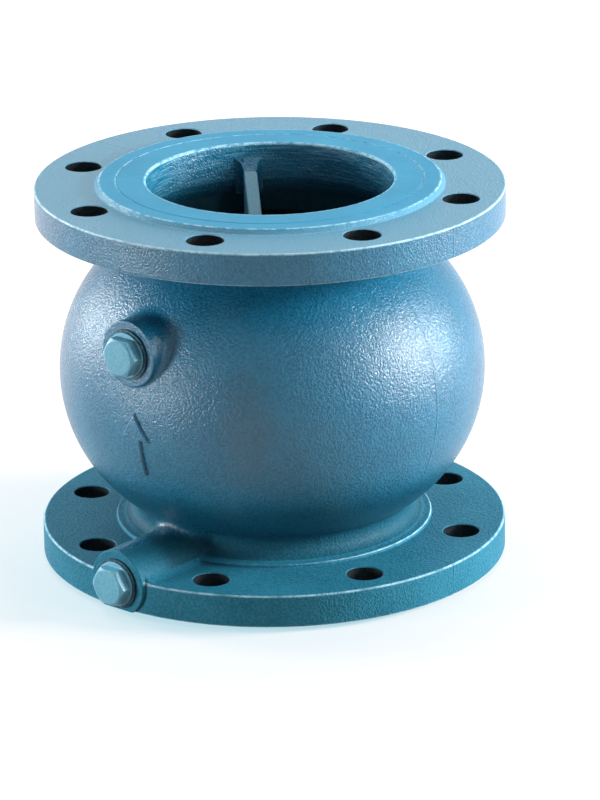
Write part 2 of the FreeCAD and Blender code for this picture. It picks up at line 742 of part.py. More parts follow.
def make_disc():
    body = start_part("disc")
    stem = "(dims.stem_radius + dims.press_gap)"
    lip = "(dims.seat_height + dims.skirt_gap)"
    revolve(body, "disc_turned", [
        (stem, PLATE_BOTTOM),
        (SEAL_OUTER, PLATE_BOTTOM),
        (SEAL_OUTER, lip),
        (DISC_RADIUS, lip),
        (DISC_RADIUS, "%s - dims.disc_thickness / 2" % PLATE_TOP),
        (DISC_RADIUS + " - dims.disc_thickness / 2", PLATE_TOP, "dims.disc_thickness / 2", 1),
        ("dims.spring_seat_radius", PLATE_TOP),
        ("dims.spring_seat_radius", SPRING_FOOT),
        ("dims.sleeve_radius", SPRING_FOOT),
        ("dims.sleeve_radius", SLEEVE_TOP),
        (stem, SLEEVE_TOP),
    ])
    drawing = start_sketch(body, "disc_screw_circle", "XY_Plane", PLATE_BOTTOM)
    draw_circle(drawing, "dims.retainer_screw_radius + dims.seat_gap", *SCREW_PLACE)
    hole = extrude(body, "disc_screw_hole", drawing,
                   "dims.retainer_screw_depth + dims.retainer_hole_spare", cut=True, back=True)
    repeat(body, "disc_screw_holes", [hole], "dims.retainer_screw_count")
    drawing = start_sketch(body, "disc_pin_circle", "YZ_Plane")
    draw_circle(drawing, "dims.pin_radius + dims.press_gap", "0", "dims.pin_height")
    extrude(body, "disc_pin_hole", drawing, "dims.sleeve_radius * 3", cut=True, midplane=True)
    return body


def make_stem():
    body = start_part("stem")
    edge = "dims.stem_edge"
    revolve(body, "stem_turned", [
        ("0", "dims.stem_bottom"),
        ("dims.stem_radius - " + edge, "dims.stem_bottom"),
        ("dims.stem_radius", "dims.stem_bottom + " + edge),
        ("dims.stem_radius", "dims.stem_top - " + edge),
        ("dims.stem_radius - " + edge, "dims.stem_top"),
        ("0", "dims.stem_top"),
    ])
    drawing = start_sketch(body, "stem_pin_circle", "YZ_Plane")
    draw_circle(drawing, "dims.pin_radius + dims.press_gap", "0", "dims.pin_height")
    extrude(body, "stem_pin_hole", drawing, "dims.stem_radius * 3", cut=True, midplane=True)
    return body


def make_stem_pin():
    body = start_part("stem_pin")
    drawing = start_sketch(body, "pin_circle", "YZ_Plane")
    draw_circle(drawing, "dims.pin_radius", "0", "dims.pin_height")
    extrude(body, "pin", drawing, "(dims.sleeve_radius - dims.pin_inset) * 2", midplane=True)
    return body


def make_disc_seal():
    body = start_part("disc_seal")
    revolve(body, "seal_turned", [
        (SEAL_INNER, "dims.seat_height"),
        (SEAL_OUTER + " - dims.seat_gap", "dims.seat_height"),
        (SEAL_OUTER + " - dims.seat_gap", PLATE_BOTTOM),
        (SEAL_INNER, PLATE_BOTTOM),
    ])
    return body


def make_seal_retainer():
    """A flat ring whose raised middle fills the seal's bore up to the disc."""
    body = start_part("seal_retainer")
    stem = "(dims.stem_radius + dims.screw_clearance)"
    spigot = "(%s - dims.seat_gap)" % SEAL_INNER
    revolve(body, "retainer_turned", [
        (stem, RETAINER_BOTTOM),
        (RETAINER_RADIUS, RETAINER_BOTTOM),
        (RETAINER_RADIUS, "dims.seat_height"),
        (spigot, "dims.seat_height"),
        (spigot, PLATE_BOTTOM),
        (stem, PLATE_BOTTOM),
    ])
    drawing = start_sketch(body, "retainer_screw_circle", "XY_Plane", PLATE_BOTTOM)
    draw_circle(drawing, "dims.retainer_screw_radius + dims.screw_clearance", *SCREW_PLACE)
    hole = extrude(body, "retainer_screw_hole", drawing,
                   "dims.retainer_thickness + dims.seal_thickness", cut=True)
    repeat(body, "retainer_screw_holes", [hole], "dims.retainer_screw_count")
    return body


def make_retainer_screws():
    body = start_part("retainer_screws")
    drawing = start_sketch(body, "retainer_head_circle", "XY_Plane", SCREW_HEAD_BOTTOM)
    draw_circle(drawing, "dims.retainer_screw_head_radius", *SCREW_PLACE)
    head = extrude(body, "retainer_head", drawing, "dims.retainer_screw_head")
    drawing = start_sketch(body, "retainer_shank_circle", "XY_Plane", RETAINER_BOTTOM)
    draw_circle(drawing, "dims.retainer_screw_radius", *SCREW_PLACE)
    length = "dims.retainer_thickness + dims.seal_thickness + dims.retainer_screw_depth"
    shank = extrude(body, "retainer_shank", drawing, length)
    drawing = start_sketch(body, "retainer_socket_hexagon", "XY_Plane", SCREW_HEAD_BOTTOM)
    socket = "(dims.retainer_screw_head_radius / 2)"
    draw_outline(drawing, [
        ("%s + %s * cos(%d deg)" % (SCREW_PLACE[0], socket, angle),
         "%s + %s * sin(%d deg)" % (SCREW_PLACE[1], socket, angle))
        for angle in range(0, 360, 60)])
    recess = extrude(body, "retainer_socket", drawing, "dims.retainer_screw_head / 2",
                     cut=True, back=True)
    repeat(body, "retainer_screw_set", [head, shank, recess], "dims.retainer_screw_count")
    return body


# Spring

def make_spring():
    """A compression spring with a closed coil at each end."""
    body = start_part("spring")
    wire = "dims.wire_radius"
    closed = "(2 * %s + dims.spring_gap)" % wire
    low = "(%s + %s)" % (SPRING_FOOT, wire)
    high = "(%s - %s)" % (UPPER_STOP, wire)
    active = "(%s - %s - 2 * %s)" % (high, low, closed)
    parts = (("low_coil", low, closed, closed),
             ("active_coils", "%s + %s" % (low, closed), active,
              "%s / dims.spring_turns" % active),
             ("high_coil", "%s - %s" % (high, closed), closed, closed))
    for name, start, height, pitch in parts:
        drawing = start_sketch(body, name + "_section", "XZ_Plane")
        draw_circle(drawing, wire, "dims.spring_radius", start)
        coil = body.newObject("PartDesign::AdditiveHelix", name)
        coil.Profile = drawing
        coil.ReferenceAxis = (drawing, ["V_Axis"])
        coil.Mode = "pitch-height-angle"
        coil.setExpression("Pitch", pitch)
        coil.setExpression("Height", height)
        doc.recompute()
    return body


def make_spring_washer():
    body = start_part("spring_washer")
    inner = "(%s + dims.bush_collar + dims.screw_clearance)" % BUSH_RADIUS
    outer = "(dims.hub_counterbore_radius - dims.screw_clearance)"
    revolve(body, "spring_washer_turned", [
        (inner, UPPER_STOP),
        (outer, UPPER_STOP),
        (outer, COUNTERBORE_TOP),
        (inner, COUNTERBORE_TOP),
    ])
    return body


parts = [
    make_casting(),
    make_plug("upper_plug", UPPER_TAP_HEIGHT, UPPER_TAP_REACH),
    make_plug("lower_plug", LOWER_TAP_HEIGHT, LOWER_TAP_REACH),
    make_plug_washer("upper_plug_washer", UPPER_TAP_HEIGHT, UPPER_TAP_REACH),
    make_plug_washer("lower_plug_washer", LOWER_TAP_HEIGHT, LOWER_TAP_REACH),
    make_seat_ring(),
    make_seat_o_ring(),
    make_seat_lock_screws(),
    make_bush("lower_guide_bush", "dims.spider_hub_bottom", SPIDER_TOP),
    make_bush("upper_guide_bush", COUNTERBORE_TOP, HUB_TOP),
    make_disc(),
    make_stem(),
    make_stem_pin(),
    make_disc_seal(),
    make_seal_retainer(),
    make_retainer_screws(),
    make_spring(),
    make_spring_washer(),
]
doc.recompute()

# Checks, then one file for each piece

for item in doc.Objects:
    if "Invalid" in item.State or "Error" in item.State:
        raise RuntimeError("%s did not build: %s" % (item.Name, item.State))
for part in parts:
    if part.Shape.isNull() or not part.Shape.isValid():
        raise RuntimeError("%s has no valid shape" % part.Label)
    print("%-20s solids %d volume %.1f" % (part.Label, len(part.Shape.Solids), part.Shape.Volume))

os.makedirs("parts", exist_ok=True)
for part in parts:
    part.Shape.exportStep("parts/%s.step" % part.Label)
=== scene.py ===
import math

import bmesh
import bpy
from mathutils import Matrix, Vector


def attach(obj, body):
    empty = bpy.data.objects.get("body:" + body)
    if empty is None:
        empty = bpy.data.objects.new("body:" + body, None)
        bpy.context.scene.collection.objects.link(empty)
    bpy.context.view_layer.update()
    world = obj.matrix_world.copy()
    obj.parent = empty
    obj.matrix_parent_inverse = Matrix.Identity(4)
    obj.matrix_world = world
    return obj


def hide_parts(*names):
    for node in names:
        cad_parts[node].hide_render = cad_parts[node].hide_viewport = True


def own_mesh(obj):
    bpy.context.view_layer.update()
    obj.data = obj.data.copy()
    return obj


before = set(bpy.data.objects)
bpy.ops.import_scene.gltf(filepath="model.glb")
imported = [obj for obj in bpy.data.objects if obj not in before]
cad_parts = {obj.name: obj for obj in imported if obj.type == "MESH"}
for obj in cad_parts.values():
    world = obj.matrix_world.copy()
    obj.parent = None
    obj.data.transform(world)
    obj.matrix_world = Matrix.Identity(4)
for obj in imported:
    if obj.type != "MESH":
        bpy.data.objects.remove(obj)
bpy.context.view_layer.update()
scene = bpy.context.scene

# Camera
# A long lens stands well back and looks down on the outlet, as in the photograph.
# The valve keeps its own frame, so the camera is turned to the side with the two plugs.

camera = bpy.data.objects.new("camera", bpy.data.cameras.new("camera"))
camera.data.sensor_width = 36
camera.data.lens = 220.707
camera.data.clip_start = 0.1
camera.data.clip_end = 30
camera.location = (1.86213, -2.13731, 1.09702)
camera.rotation_euler = [math.radians(angle) for angle in (70.5384, 0.6218, 40.5075)]
scene.collection.objects.link(camera)
scene.camera = camera
scene.view_settings.view_transform = "Standard"

# Studio
# A plain white sweep carries the valve. Narrow soft lamps stand at its sides and a wide one
# hangs above, so the front of the globe stays darker than its flanks.

PHOTO_TURN = math.radians(41.06)
STUDIO_WHITE = (1.0, 1.0, 1.0, 1.0)
VALVE_MIDDLE = Vector((0, 0, 0.119))
LAMPS = (
    # name, place to the right, away and up, width and height, watts
    ("left_softbox", (-1.20, 0.60, 0.40), (0.30, 0.32), 13),
    ("left_front_softbox", (-1.26, -0.50, 0.22), (0.30, 0.24), 11.5),
    ("right_softbox", (1.36, -0.06, 0.47), (0.44, 0.40), 38),
    ("right_front_softbox", (1.06, -0.74, 0.72), (0.30, 0.22), 3.5),
    ("overhead_softbox", (-0.1, 0.4, 1.5), (1.4, 0.9), 14),
)
for name, place, (width, height), watts in LAMPS:
    lamp = bpy.data.lights.new(name, "AREA")
    lamp.shape = "RECTANGLE"
    lamp.size = width
    lamp.size_y = height
    lamp.energy = watts
    holder = bpy.data.objects.new(name, lamp)
    holder.location = Matrix.Rotation(PHOTO_TURN, 3, "Z") @ Vector(place)
    holder.rotation_euler = (VALVE_MIDDLE - holder.location).to_track_quat("-Z", "Y").to_euler()
    scene.collection.objects.link(holder)


def seen_directly(tree):
    """1 for rays from the camera, from gloss and through glass, which see the plain backdrop."""
    path = tree.nodes.new("ShaderNodeLightPath")
    seen = path.outputs["Is Camera Ray"]
    for kind in ("Is Glossy Ray", "Is Transmission Ray"):
        either = tree.nodes.new("ShaderNodeMath")
        either.operation = "MAXIMUM"
        tree.links.new(seen, either.inputs[0])
        tree.links.new(path.outputs[kind], either.inputs[1])
        seen = either.outputs[0]
    return seen


# The room itself is white to the camera and in gloss, and gives only a little light.
ROOM_LIGHT, ROOM_COLOUR = 0.1, (0.84, 0.93, 1.0, 1.0)

world = bpy.data.worlds.new("studio")
scene.world = world
world.use_nodes = True
tree = world.node_tree
backdrop = tree.nodes["Background"]
backdrop.inputs["Color"].default_value = STUDIO_WHITE
room = tree.nodes.new("ShaderNodeBackground")
room.inputs["Color"].default_value = ROOM_COLOUR
room.inputs["Strength"].default_value = ROOM_LIGHT
choice = tree.nodes.new("ShaderNodeMixShader")
tree.links.new(seen_directly(tree), choice.inputs["Fac"])
tree.links.new(room.outputs[0], choice.inputs[1])
tree.links.new(backdrop.outputs[0], choice.inputs[2])
tree.links.new(choice.outputs[0], tree.nodes["World Output"].inputs["Surface"])

# The floor is white paper. Close to the valve its veil is painted bluer and darker, a painted shadow
# round the foot.
FLOOR_HALF = 6
PAPER, PAINTED_SHADOW_VEIL = (0.46, 0.28, 0.22, 1), (0.43, 0.67, 0.76, 1)
VEIL_START, VEIL_END = 0.22, 0.5

corners = [(x * FLOOR_HALF, y * FLOOR_HALF, 0) for x, y in ((-1, -1), (1, -1), (1, 1), (-1, 1))]
floor_mesh = bpy.data.meshes.new("floor")
floor_mesh.from_pydata(corners, [], [(0, 1, 2, 3)])
floor = bpy.data.objects.new("floor", floor_mesh)
scene.collection.objects.link(floor)
paper = bpy.data.materials.new("white_paper")
paper.use_nodes = True
tree = paper.node_tree
matte = tree.nodes["Principled BSDF"]
matte.inputs["Base Color"].default_value = PAPER
matte.inputs["Roughness"].default_value = 0.9
matte.inputs["Specular IOR Level"].default_value = 0.0
veil = tree.nodes.new("ShaderNodeEmission")
reach = tree.nodes.new("ShaderNodeVectorMath")
reach.operation = "LENGTH"
tree.links.new(tree.nodes.new("ShaderNodeTexCoord").outputs["Object"], reach.inputs[0])
fade = tree.nodes.new("ShaderNodeMapRange")
fade.inputs["From Min"].default_value = VEIL_START
fade.inputs["From Max"].default_value = VEIL_END
tree.links.new(reach.outputs["Value"], fade.inputs["Value"])
tint = tree.nodes.new("ShaderNodeMix")
tint.data_type = "RGBA"
tint.inputs[6].default_value = PAINTED_SHADOW_VEIL
tint.inputs[7].default_value = STUDIO_WHITE
tree.links.new(fade.outputs[0], tint.inputs[0])
tree.links.new(tint.outputs[2], veil.inputs["Color"])
both = tree.nodes.new("ShaderNodeAddShader")
tree.links.new(matte.outputs[0], both.inputs[0])
tree.links.new(veil.outputs[0], both.inputs[1])
tree.links.new(seen_directly(tree), veil.inputs["Strength"])
tree.links.new(both.outputs[0], tree.nodes["Material Output"].inputs["Surface"])
floor_mesh.materials.append(paper)

# Casting
# The real piece is one grey-iron sand casting: two flanges, two necks, the globe and, in the
# outlet, three guide ribs that carry a hub. Its faces and bores are turned, its holes drilled,
# and the whole is then coated blue.

MM = 0.001
FACE_TO_FACE = 238
MIDDLE = FACE_TO_FACE / 2
FLANGE_RADIUS = 142.5
RIM_FRONT, RIM_BACK = 3, 23
RAISED_FACE_RADIUS, FACE_GROOVE = 103.5, 93
STEP_RADIUS, STEP_TOP = 97, 25
NECK_FILLET = 8
GLOBE_CENTRE, GLOBE_ARC, WALL = 32, 98, 10
CORE_ARC = GLOBE_ARC - WALL
BORE_RADIUS, RELIEF_RADIUS = 75, 79
THROAT_END, RELIEF_START = 215, 205
MOUTH_RADIUS, SEAT_THREAD = 81, 79.5
THREAD_FOOT, THREAD_TOP, SEAT_FLOOR = 24, 38, 46
NECK_SPACING, GLOBE_SPACING, CORE_SPACING = 1.4, 2.6, 5
ROUND_STEPS = 5
SEGMENTS = 256


def rounded(points):
    """A line through (radius, height, rounding) corners, each rounded by its own radius."""
    line = []
    for i, (r, z, rounding) in enumerate(points):
        here = Vector((r, z))
        if rounding == 0 or i in (0, len(points) - 1):
            line.append(here)
            continue
        before = Vector(points[i - 1][:2]) - here
        after = Vector(points[i + 1][:2]) - here
        tangent = rounding / math.tan(before.angle(after) / 2)
        tangent = min(tangent, before.length * 0.49, after.length * 0.49)
        start = here + before.normalized() * tangent
        end = here + after.normalized() * tangent
        line += bezier(start, here, end, ROUND_STEPS)
    return line


def bezier(a, b, c, steps):
    """Points of a curve from a to c that leaves and arrives along the lines to b."""
    return [a * (1 - t) ** 2 + b * 2 * t * (1 - t) + c * t ** 2
            for t in (i / steps for i in range(steps + 1))]


def arc(centre, radius, first, last, spacing):
    """Points on an arc in the (radius, height) plane. Angles are in degrees from the radius."""
    steps = max(2, round(abs(math.radians(last - first)) * radius / spacing))
    turns = [math.radians(first + (last - first) * i / steps) for i in range(steps + 1)]
    return [Vector((centre[0] + radius * math.cos(a), centre[1] + radius * math.sin(a)))
            for a in turns]


def mesh_object(name, corners, faces):
    """A new object from corners in millimetres."""
    mesh = bpy.data.meshes.new(name)
    mesh.from_pydata([Vector(c) * MM for c in corners], [], faces)
    mesh.validate()
    piece = bpy.data.objects.new(name, mesh)
    scene.collection.objects.link(piece)
    shell = bmesh.new()
    shell.from_mesh(mesh)
    bmesh.ops.remove_doubles(shell, verts=shell.verts, dist=1e-6)
    bmesh.ops.recalc_face_normals(shell, faces=shell.faces)
    shell.to_mesh(mesh)
    shell.free()
    return piece


def skinned(name, rows, ends=True, ring=False):
    """Joins closed rings of points, one after the other. ends closes the first and the last,
    and ring joins the last to the first."""
    count = len(rows[0])
    corners = [point for row in rows for point in row]
    faces = []
    for row in range(len(rows) if ring else len(rows) - 1):
        low, high = row * count, ((row + 1) % len(rows)) * count
        for i in range(count):
            j = (i + 1) % count
            faces.append((low + i, low + j, high + j, high + i))
    if ends and not ring:
        faces.append(tuple(range(count)))
        faces.append(tuple(range((len(rows) - 1) * count, len(rows) * count)))
    return mesh_object(name, corners, faces)


def turned(name, line, segments=SEGMENTS):
    """Turns a closed line of (radius, height) points about the valve's axis."""
    turns = [2 * math.pi * i / segments for i in range(segments)]
    rows = [[(r * math.cos(a), r * math.sin(a), z) for a in turns] for r, z in line]
    return skinned(name, rows, ring=True)


def drill(x, y, stations, sides=48):
    """An upright cutter from (radius, height) stations, at a place across the valve."""
    turns = [2 * math.pi * i / sides for i in range(sides)]
    return skinned("drill", [[(x + r * math.cos(a), y + r * math.sin(a), z) for a in turns]
                             for r, z in stations])


def apply_modifiers(piece):
    """Puts the result of the piece's modifiers in place of its mesh."""
    graph = bpy.context.evaluated_depsgraph_get()
    result = bpy.data.meshes.new_from_object(piece.evaluated_get(graph))
    piece.modifiers.clear()
    piece.data = result


def join_or_cut(piece, others, operation):
    """Adds other solids to the piece, or takes them away, and removes them."""
    if len(others) > 1:
        with bpy.context.temp_override(active_object=others[0], selected_editable_objects=others):
            bpy.ops.object.join()
    step = piece.modifiers.new("solid", "BOOLEAN")
    step.operation = operation
    step.solver = "EXACT"
    step.object = others[0]
    apply_modifiers(piece)
    bpy.data.objects.remove(others[0])


def smooth_by_angle(piece, angle=32):
    """Smooth shading with hard edges where faces meet at more than the angle."""
    piece.data.shade_smooth()
    piece.data.set_sharp_from_angle(angle=math.radians(angle))
    even = piece.modifiers.new("even_normals", "WEIGHTED_NORMAL")
    even.keep_sharp = True


# The neck's blend touches the step's face and the globe.
neck_rise = MIDDLE - STEP_TOP - NECK_FILLET
neck_run = math.sqrt((GLOBE_ARC + NECK_FILLET) ** 2 - neck_rise ** 2)
neck_centre = GLOBE_CENTRE + neck_run
neck_angle = math.degrees(math.atan2(neck_rise, neck_run))


def globe_radius_at(z):
    """Outer radius of the neck or globe at a height, above the step."""
    rise = abs(z - MIDDLE)
    if rise < math.sin(math.radians(neck_angle)) * GLOBE_ARC:
        return GLOBE_CENTRE + math.sqrt(GLOBE_ARC ** 2 - rise ** 2)
    down = max(-1.0, min(1.0, (neck_rise - rise) / NECK_FILLET))
    return neck_centre - NECK_FILLET * math.cos(math.asin(down))


def on_globe(x, z):
    """How far the globe's skin stands out toward the plugs, beside and above a point."""
    return math.sqrt(max(0.0, globe_radius_at(z) ** 2 - x ** 2))


def mirrored(line):
    """The outlet's half of a line drawn for the inlet's."""
    return [Vector((r, FACE_TO_FACE - z)) for r, z in reversed(line)]


flange = rounded([
    (MOUTH_RADIUS, 0, 0), (FACE_GROOVE - 0.6, 0, 0), (FACE_GROOVE, 0.6, 0.5),
    (FACE_GROOVE + 0.6, 0, 0), (RAISED_FACE_RADIUS, 0, 1.2), (106, RIM_FRONT, 1.2),
    (FLANGE_RADIUS, RIM_FRONT, 1.0), (FLANGE_RADIUS, RIM_BACK, 2.0),
    (STEP_RADIUS, RIM_BACK, 0.8), (STEP_RADIUS, STEP_TOP, 1.2), (neck_centre, STEP_TOP, 0)])
lower_neck = arc((neck_centre, STEP_TOP + NECK_FILLET), NECK_FILLET, 270, 180 - neck_angle,
                 NECK_SPACING)
globe = arc((GLOBE_CENTRE, MIDDLE), GLOBE_ARC, -neck_angle, neck_angle, GLOBE_SPACING)
core_top = math.degrees(math.acos((RELIEF_RADIUS - GLOBE_CENTRE) / CORE_ARC))
core_foot = -math.degrees(math.asin((MIDDLE - SEAT_FLOOR) / CORE_ARC))
core = arc((GLOBE_CENTRE, MIDDLE), CORE_ARC, core_top, core_foot, CORE_SPACING)
waterway = rounded([
    (BORE_RADIUS + 0.8, FACE_TO_FACE, 0), (BORE_RADIUS, FACE_TO_FACE - 0.8, 0.5),
    (BORE_RADIUS, THROAT_END, 6), (RELIEF_RADIUS, RELIEF_START, 6), (RELIEF_RADIUS, core[0][1] + 1, 0)])
waterway += core
waterway += rounded([
    (core[-1][0], SEAT_FLOOR, 0), (BORE_RADIUS, SEAT_FLOOR, 0.8), (BORE_RADIUS, THREAD_TOP, 0.3),
    (SEAT_THREAD, THREAD_TOP, 0), (SEAT_THREAD, THREAD_FOOT, 0.3), (MOUTH_RADIUS, THREAD_FOOT, 0),
    (MOUTH_RADIUS, 1, 0)])
casting = turned("casting", flange + lower_neck[1:] + globe[1:] + mirrored(lower_neck)[1:]
                 + mirrored(flange)[1:-1] + waterway)

# The upper boss grows out of the globe, with a root that runs out tangent to it.
BOSS_RADIUS = 20.3
BOSS_EDGE, BOSS_ROOT = 0.9, 4.5
BOSS_SIDES = 96
UPPER_TAP_HEIGHT, UPPER_TAP_REACH = 160, 129.5
LOWER_TAP_HEIGHT, LOWER_TAP_REACH = 19.4, 143.6


def upper_boss_column(turn):
    """One line of the boss's skin, from its face down the side, out over the root and back."""
    cos, sin = math.cos(turn), math.sin(turn)

    def depth(reach):
        return on_globe(reach * cos, UPPER_TAP_HEIGHT + reach * sin)

    foot = depth(BOSS_RADIUS)
    height = UPPER_TAP_REACH - foot
    root = min(BOSS_ROOT, 0.45 * height + 1.0)
    edge = min(BOSS_EDGE, 0.45 * height)
    top = max(foot + 0.02, min(UPPER_TAP_REACH - edge - 0.1, foot + root))
    line = [Vector((BOSS_RADIUS - edge - 0.2, UPPER_TAP_REACH))]
    line += bezier(Vector((BOSS_RADIUS - edge, UPPER_TAP_REACH)),
                   Vector((BOSS_RADIUS, UPPER_TAP_REACH)),
                   Vector((BOSS_RADIUS, UPPER_TAP_REACH - edge)), 4)
    line += bezier(Vector((BOSS_RADIUS, top)), Vector((BOSS_RADIUS, foot)),
                   Vector((BOSS_RADIUS + root, depth(BOSS_RADIUS + root) - 0.05)), 9)
    line.append(Vector((BOSS_RADIUS + root + 0.6, depth(BOSS_RADIUS + root + 0.6) - 0.5)))
    line.append(Vector((BOSS_RADIUS + root, depth(BOSS_RADIUS + root) - 5)))
    line.append(Vector((BOSS_RADIUS / 2, depth(BOSS_RADIUS / 2) - 6)))
    return [(reach * cos, -y, UPPER_TAP_HEIGHT + reach * sin) for reach, y in line]


columns = [upper_boss_column(2 * math.pi * i / BOSS_SIDES) for i in range(BOSS_SIDES)]
upper_boss = skinned("upper_boss", list(zip(*columns)))
join_or_cut(casting, [upper_boss], "UNION")

# The lower boss lies on the back of the inlet flange and runs in to the neck.
RIM_SADDLE_FILLET, NECK_SADDLE_FILLET = 8, 14
SADDLE_OUT, SADDLE_UP = 19, 12


def saddle_section(fillet):
    """The saddle's section from foot to foot, as (across, height) points with their normals."""
    rise = RIM_BACK + fillet - LOWER_TAP_HEIGHT
    run = math.sqrt((BOSS_RADIUS + fillet) ** 2 - rise ** 2)
    lean = math.atan2(rise, run)
    line = []
    for i in range(9):
        a = -math.pi / 2 - (math.pi / 2 - lean) * i / 8
        line.append((run + fillet * math.cos(a), RIM_BACK + fillet + fillet * math.sin(a),
                     -math.cos(a), -math.sin(a)))
    for i in range(1, 12):
        a = lean + (math.pi / 2 - lean) * i / 11
        line.append((BOSS_RADIUS * math.cos(a), LOWER_TAP_HEIGHT + BOSS_RADIUS * math.sin(a),
                     math.cos(a), math.sin(a)))
    return [(-x, z, -nx, nz) for x, z, nx, nz in line] + line[-2::-1]


def saddle_row(share):
    """One ring across the saddle. share goes from 0 at the rim to 1 on the globe."""
    inward = max(0.0, min(1.0, share / 0.6))
    ring = []
    for x, z, nx, nz in saddle_section(
            RIM_SADDLE_FILLET + (NECK_SADDLE_FILLET - RIM_SADDLE_FILLET) * inward ** 2):
        rim = math.sqrt((FLANGE_RADIUS - 0.35) ** 2 - x ** 2)
        hit = on_globe(x, max(z, STEP_TOP + 0.5))
        height = max(0.0, min(1.0, (z - RIM_BACK) / 12))
        ease = height * height * (3 - 2 * height)
        far_x, far_z = x + nx * SADDLE_UP * ease, z + nz * SADDLE_UP * ease
        start = min(hit + SADDLE_OUT * ease + 1, rim - 4)
        if share < 0:
            drop = 1.2 if z > RIM_BACK + 0.01 else 0.0
            ring.append((x - nx * drop, -rim, z - nz * drop))
        elif share <= 0.4:
            ring.append((x, -(rim - 1.2 - (rim - 1.2 - start) * share / 0.4), z))
        elif share <= 1:
            far_y = on_globe(far_x, max(far_z, STEP_TOP + 0.5)) - 0.25
            t = (share - 0.4) / 0.6
            p = (Vector((x, start, z)) * (1 - t) ** 2 + Vector((x, hit, z)) * 2 * t * (1 - t)
                 + Vector((far_x, far_y, far_z)) * t ** 2)
            ring.append((p[0], -p[1], p[2]))
        else:
            under = on_globe(far_x * 0.98, max(far_z, STEP_TOP + 0.5)) - 4
            ring.append((far_x * 0.98, -under, far_z))
    ring.append((ring[-1][0], ring[-1][1], RIM_BACK - 3))
    ring.append((ring[0][0], ring[0][1], RIM_BACK - 3))
    return ring


saddle = skinned("saddle", [saddle_row(share) for share in (
    -1, 0, 0.1, 0.2, 0.3, 0.4, 0.46, 0.52, 0.58, 0.64, 0.7, 0.76, 0.82, 0.88, 0.94, 1, 2)])
join_or_cut(casting, [saddle], "UNION")

# Its round end is faced off level with the flange's front.
rows = []
for radius, y in [(BOSS_RADIUS, 120)] + [tuple(p) for p in bezier(
        Vector((BOSS_RADIUS, LOWER_TAP_REACH - BOSS_EDGE)), Vector((BOSS_RADIUS, LOWER_TAP_REACH)),
        Vector((BOSS_RADIUS - BOSS_EDGE, LOWER_TAP_REACH)), 4)]:
    turns = [2 * math.pi * (i + 0.5) / BOSS_SIDES for i in range(BOSS_SIDES)]
    rows.append([(radius * math.cos(a), -y, max(RIM_FRONT, LOWER_TAP_HEIGHT + radius * math.sin(a)))
                 for a in turns])
join_or_cut(casting, [skinned("lower_boss", rows)], "UNION")

# Guide ribs: each runs from a flared root in the outlet down and in to the hub.
RIB_TOP, RIB_SLOPE, RIB_THICKNESS, RIB_FLARE = 229, 1.4, 8.5, 4.4
RIB_ANGLES = (21, 141, 261)
RIB_EDGE, RIB_ROOT_FOOT = 1.3, 206
RIB_SIDE = [(17.5, 106), (112, 165), (84, 193.4), (84, RIB_TOP), (BORE_RADIUS, RIB_TOP),
            (17.5, RIB_TOP - (BORE_RADIUS - 17.5) * RIB_SLOPE)]
HUB_RADIUS, HUB_BOTTOM, HUB_TOP = 26, 104, 154
SPRING_BORE, COUNTERBORE_TOP, BUSH_BORE = 20.5, 122, 12

for angle in RIB_ANGLES:
    corners = [(r, side * RIB_THICKNESS / 2, z) for side in (-1, 1) for r, z in RIB_SIDE]
    count = len(RIB_SIDE)
    faces = [tuple(range(count)), tuple(range(count, 2 * count))]
    faces += [(i, (i + 1) % count, count + (i + 1) % count, count + i) for i in range(count)]
    rib = mesh_object("rib", corners, faces)
    edge = rib.modifiers.new("edge", "BEVEL")
    edge.width = RIB_EDGE * MM
    edge.segments = 3
    apply_modifiers(rib)
    rib.data.transform(Matrix.Rotation(math.radians(angle), 4, "Z"))
    join_or_cut(casting, [rib], "UNION")
    half = RIB_THICKNESS / 2
    plan = [(BORE_RADIUS + 4, -half - RIB_FLARE)]
    plan += bezier(Vector((BORE_RADIUS - 1, -half - RIB_FLARE)), Vector((BORE_RADIUS - 2, -half)),
                   Vector((BORE_RADIUS - 1 - RIB_FLARE, -half)), 7)
    plan += [(r, -y) for r, y in reversed(plan)]
    ring_top = [(r, y, RIB_TOP - max(0.0, BORE_RADIUS - 0.5 - r) * RIB_SLOPE) for r, y in plan]
    root = skinned("rib_root", [[(r, y, RIB_ROOT_FOOT) for r, y in plan], ring_top])
    root.data.transform(Matrix.Rotation(math.radians(angle), 4, "Z"))
    join_or_cut(casting, [root], "UNION")

hub = turned("hub", rounded([
    (BUSH_BORE, HUB_TOP, 0), (HUB_RADIUS, HUB_TOP, 2), (HUB_RADIUS, HUB_BOTTOM, 2),
    (SPRING_BORE, HUB_BOTTOM, 0.5), (SPRING_BORE, COUNTERBORE_TOP, 0),
    (BUSH_BORE, COUNTERBORE_TOP, 0)]), 96)
join_or_cut(casting, [hub], "UNION")
join_or_cut(casting, [drill(0, 0, (
    (SPRING_BORE, HUB_BOTTOM - 4), (SPRING_BORE, COUNTERBORE_TOP), (BUSH_BORE, COUNTERBORE_TOP),
    (BUSH_BORE, HUB_TOP + 4)), 96)], "DIFFERENCE")

# Bolt holes with their drilled edges broken, the holes of the seat lock screws, and the taps.
BOLT_CIRCLE, BOLT_COUNT = 120, 8
BREAK = 0.5
INLET_HOLE, OUTLET_HOLE = 11, 11.2
LOCK_CIRCLE, LOCK_HOLE = SEAT_THREAD, 3.05
TAP_RADIUS, TAP_CORE, TAP_DEPTH = 10.5, 4.5, 15

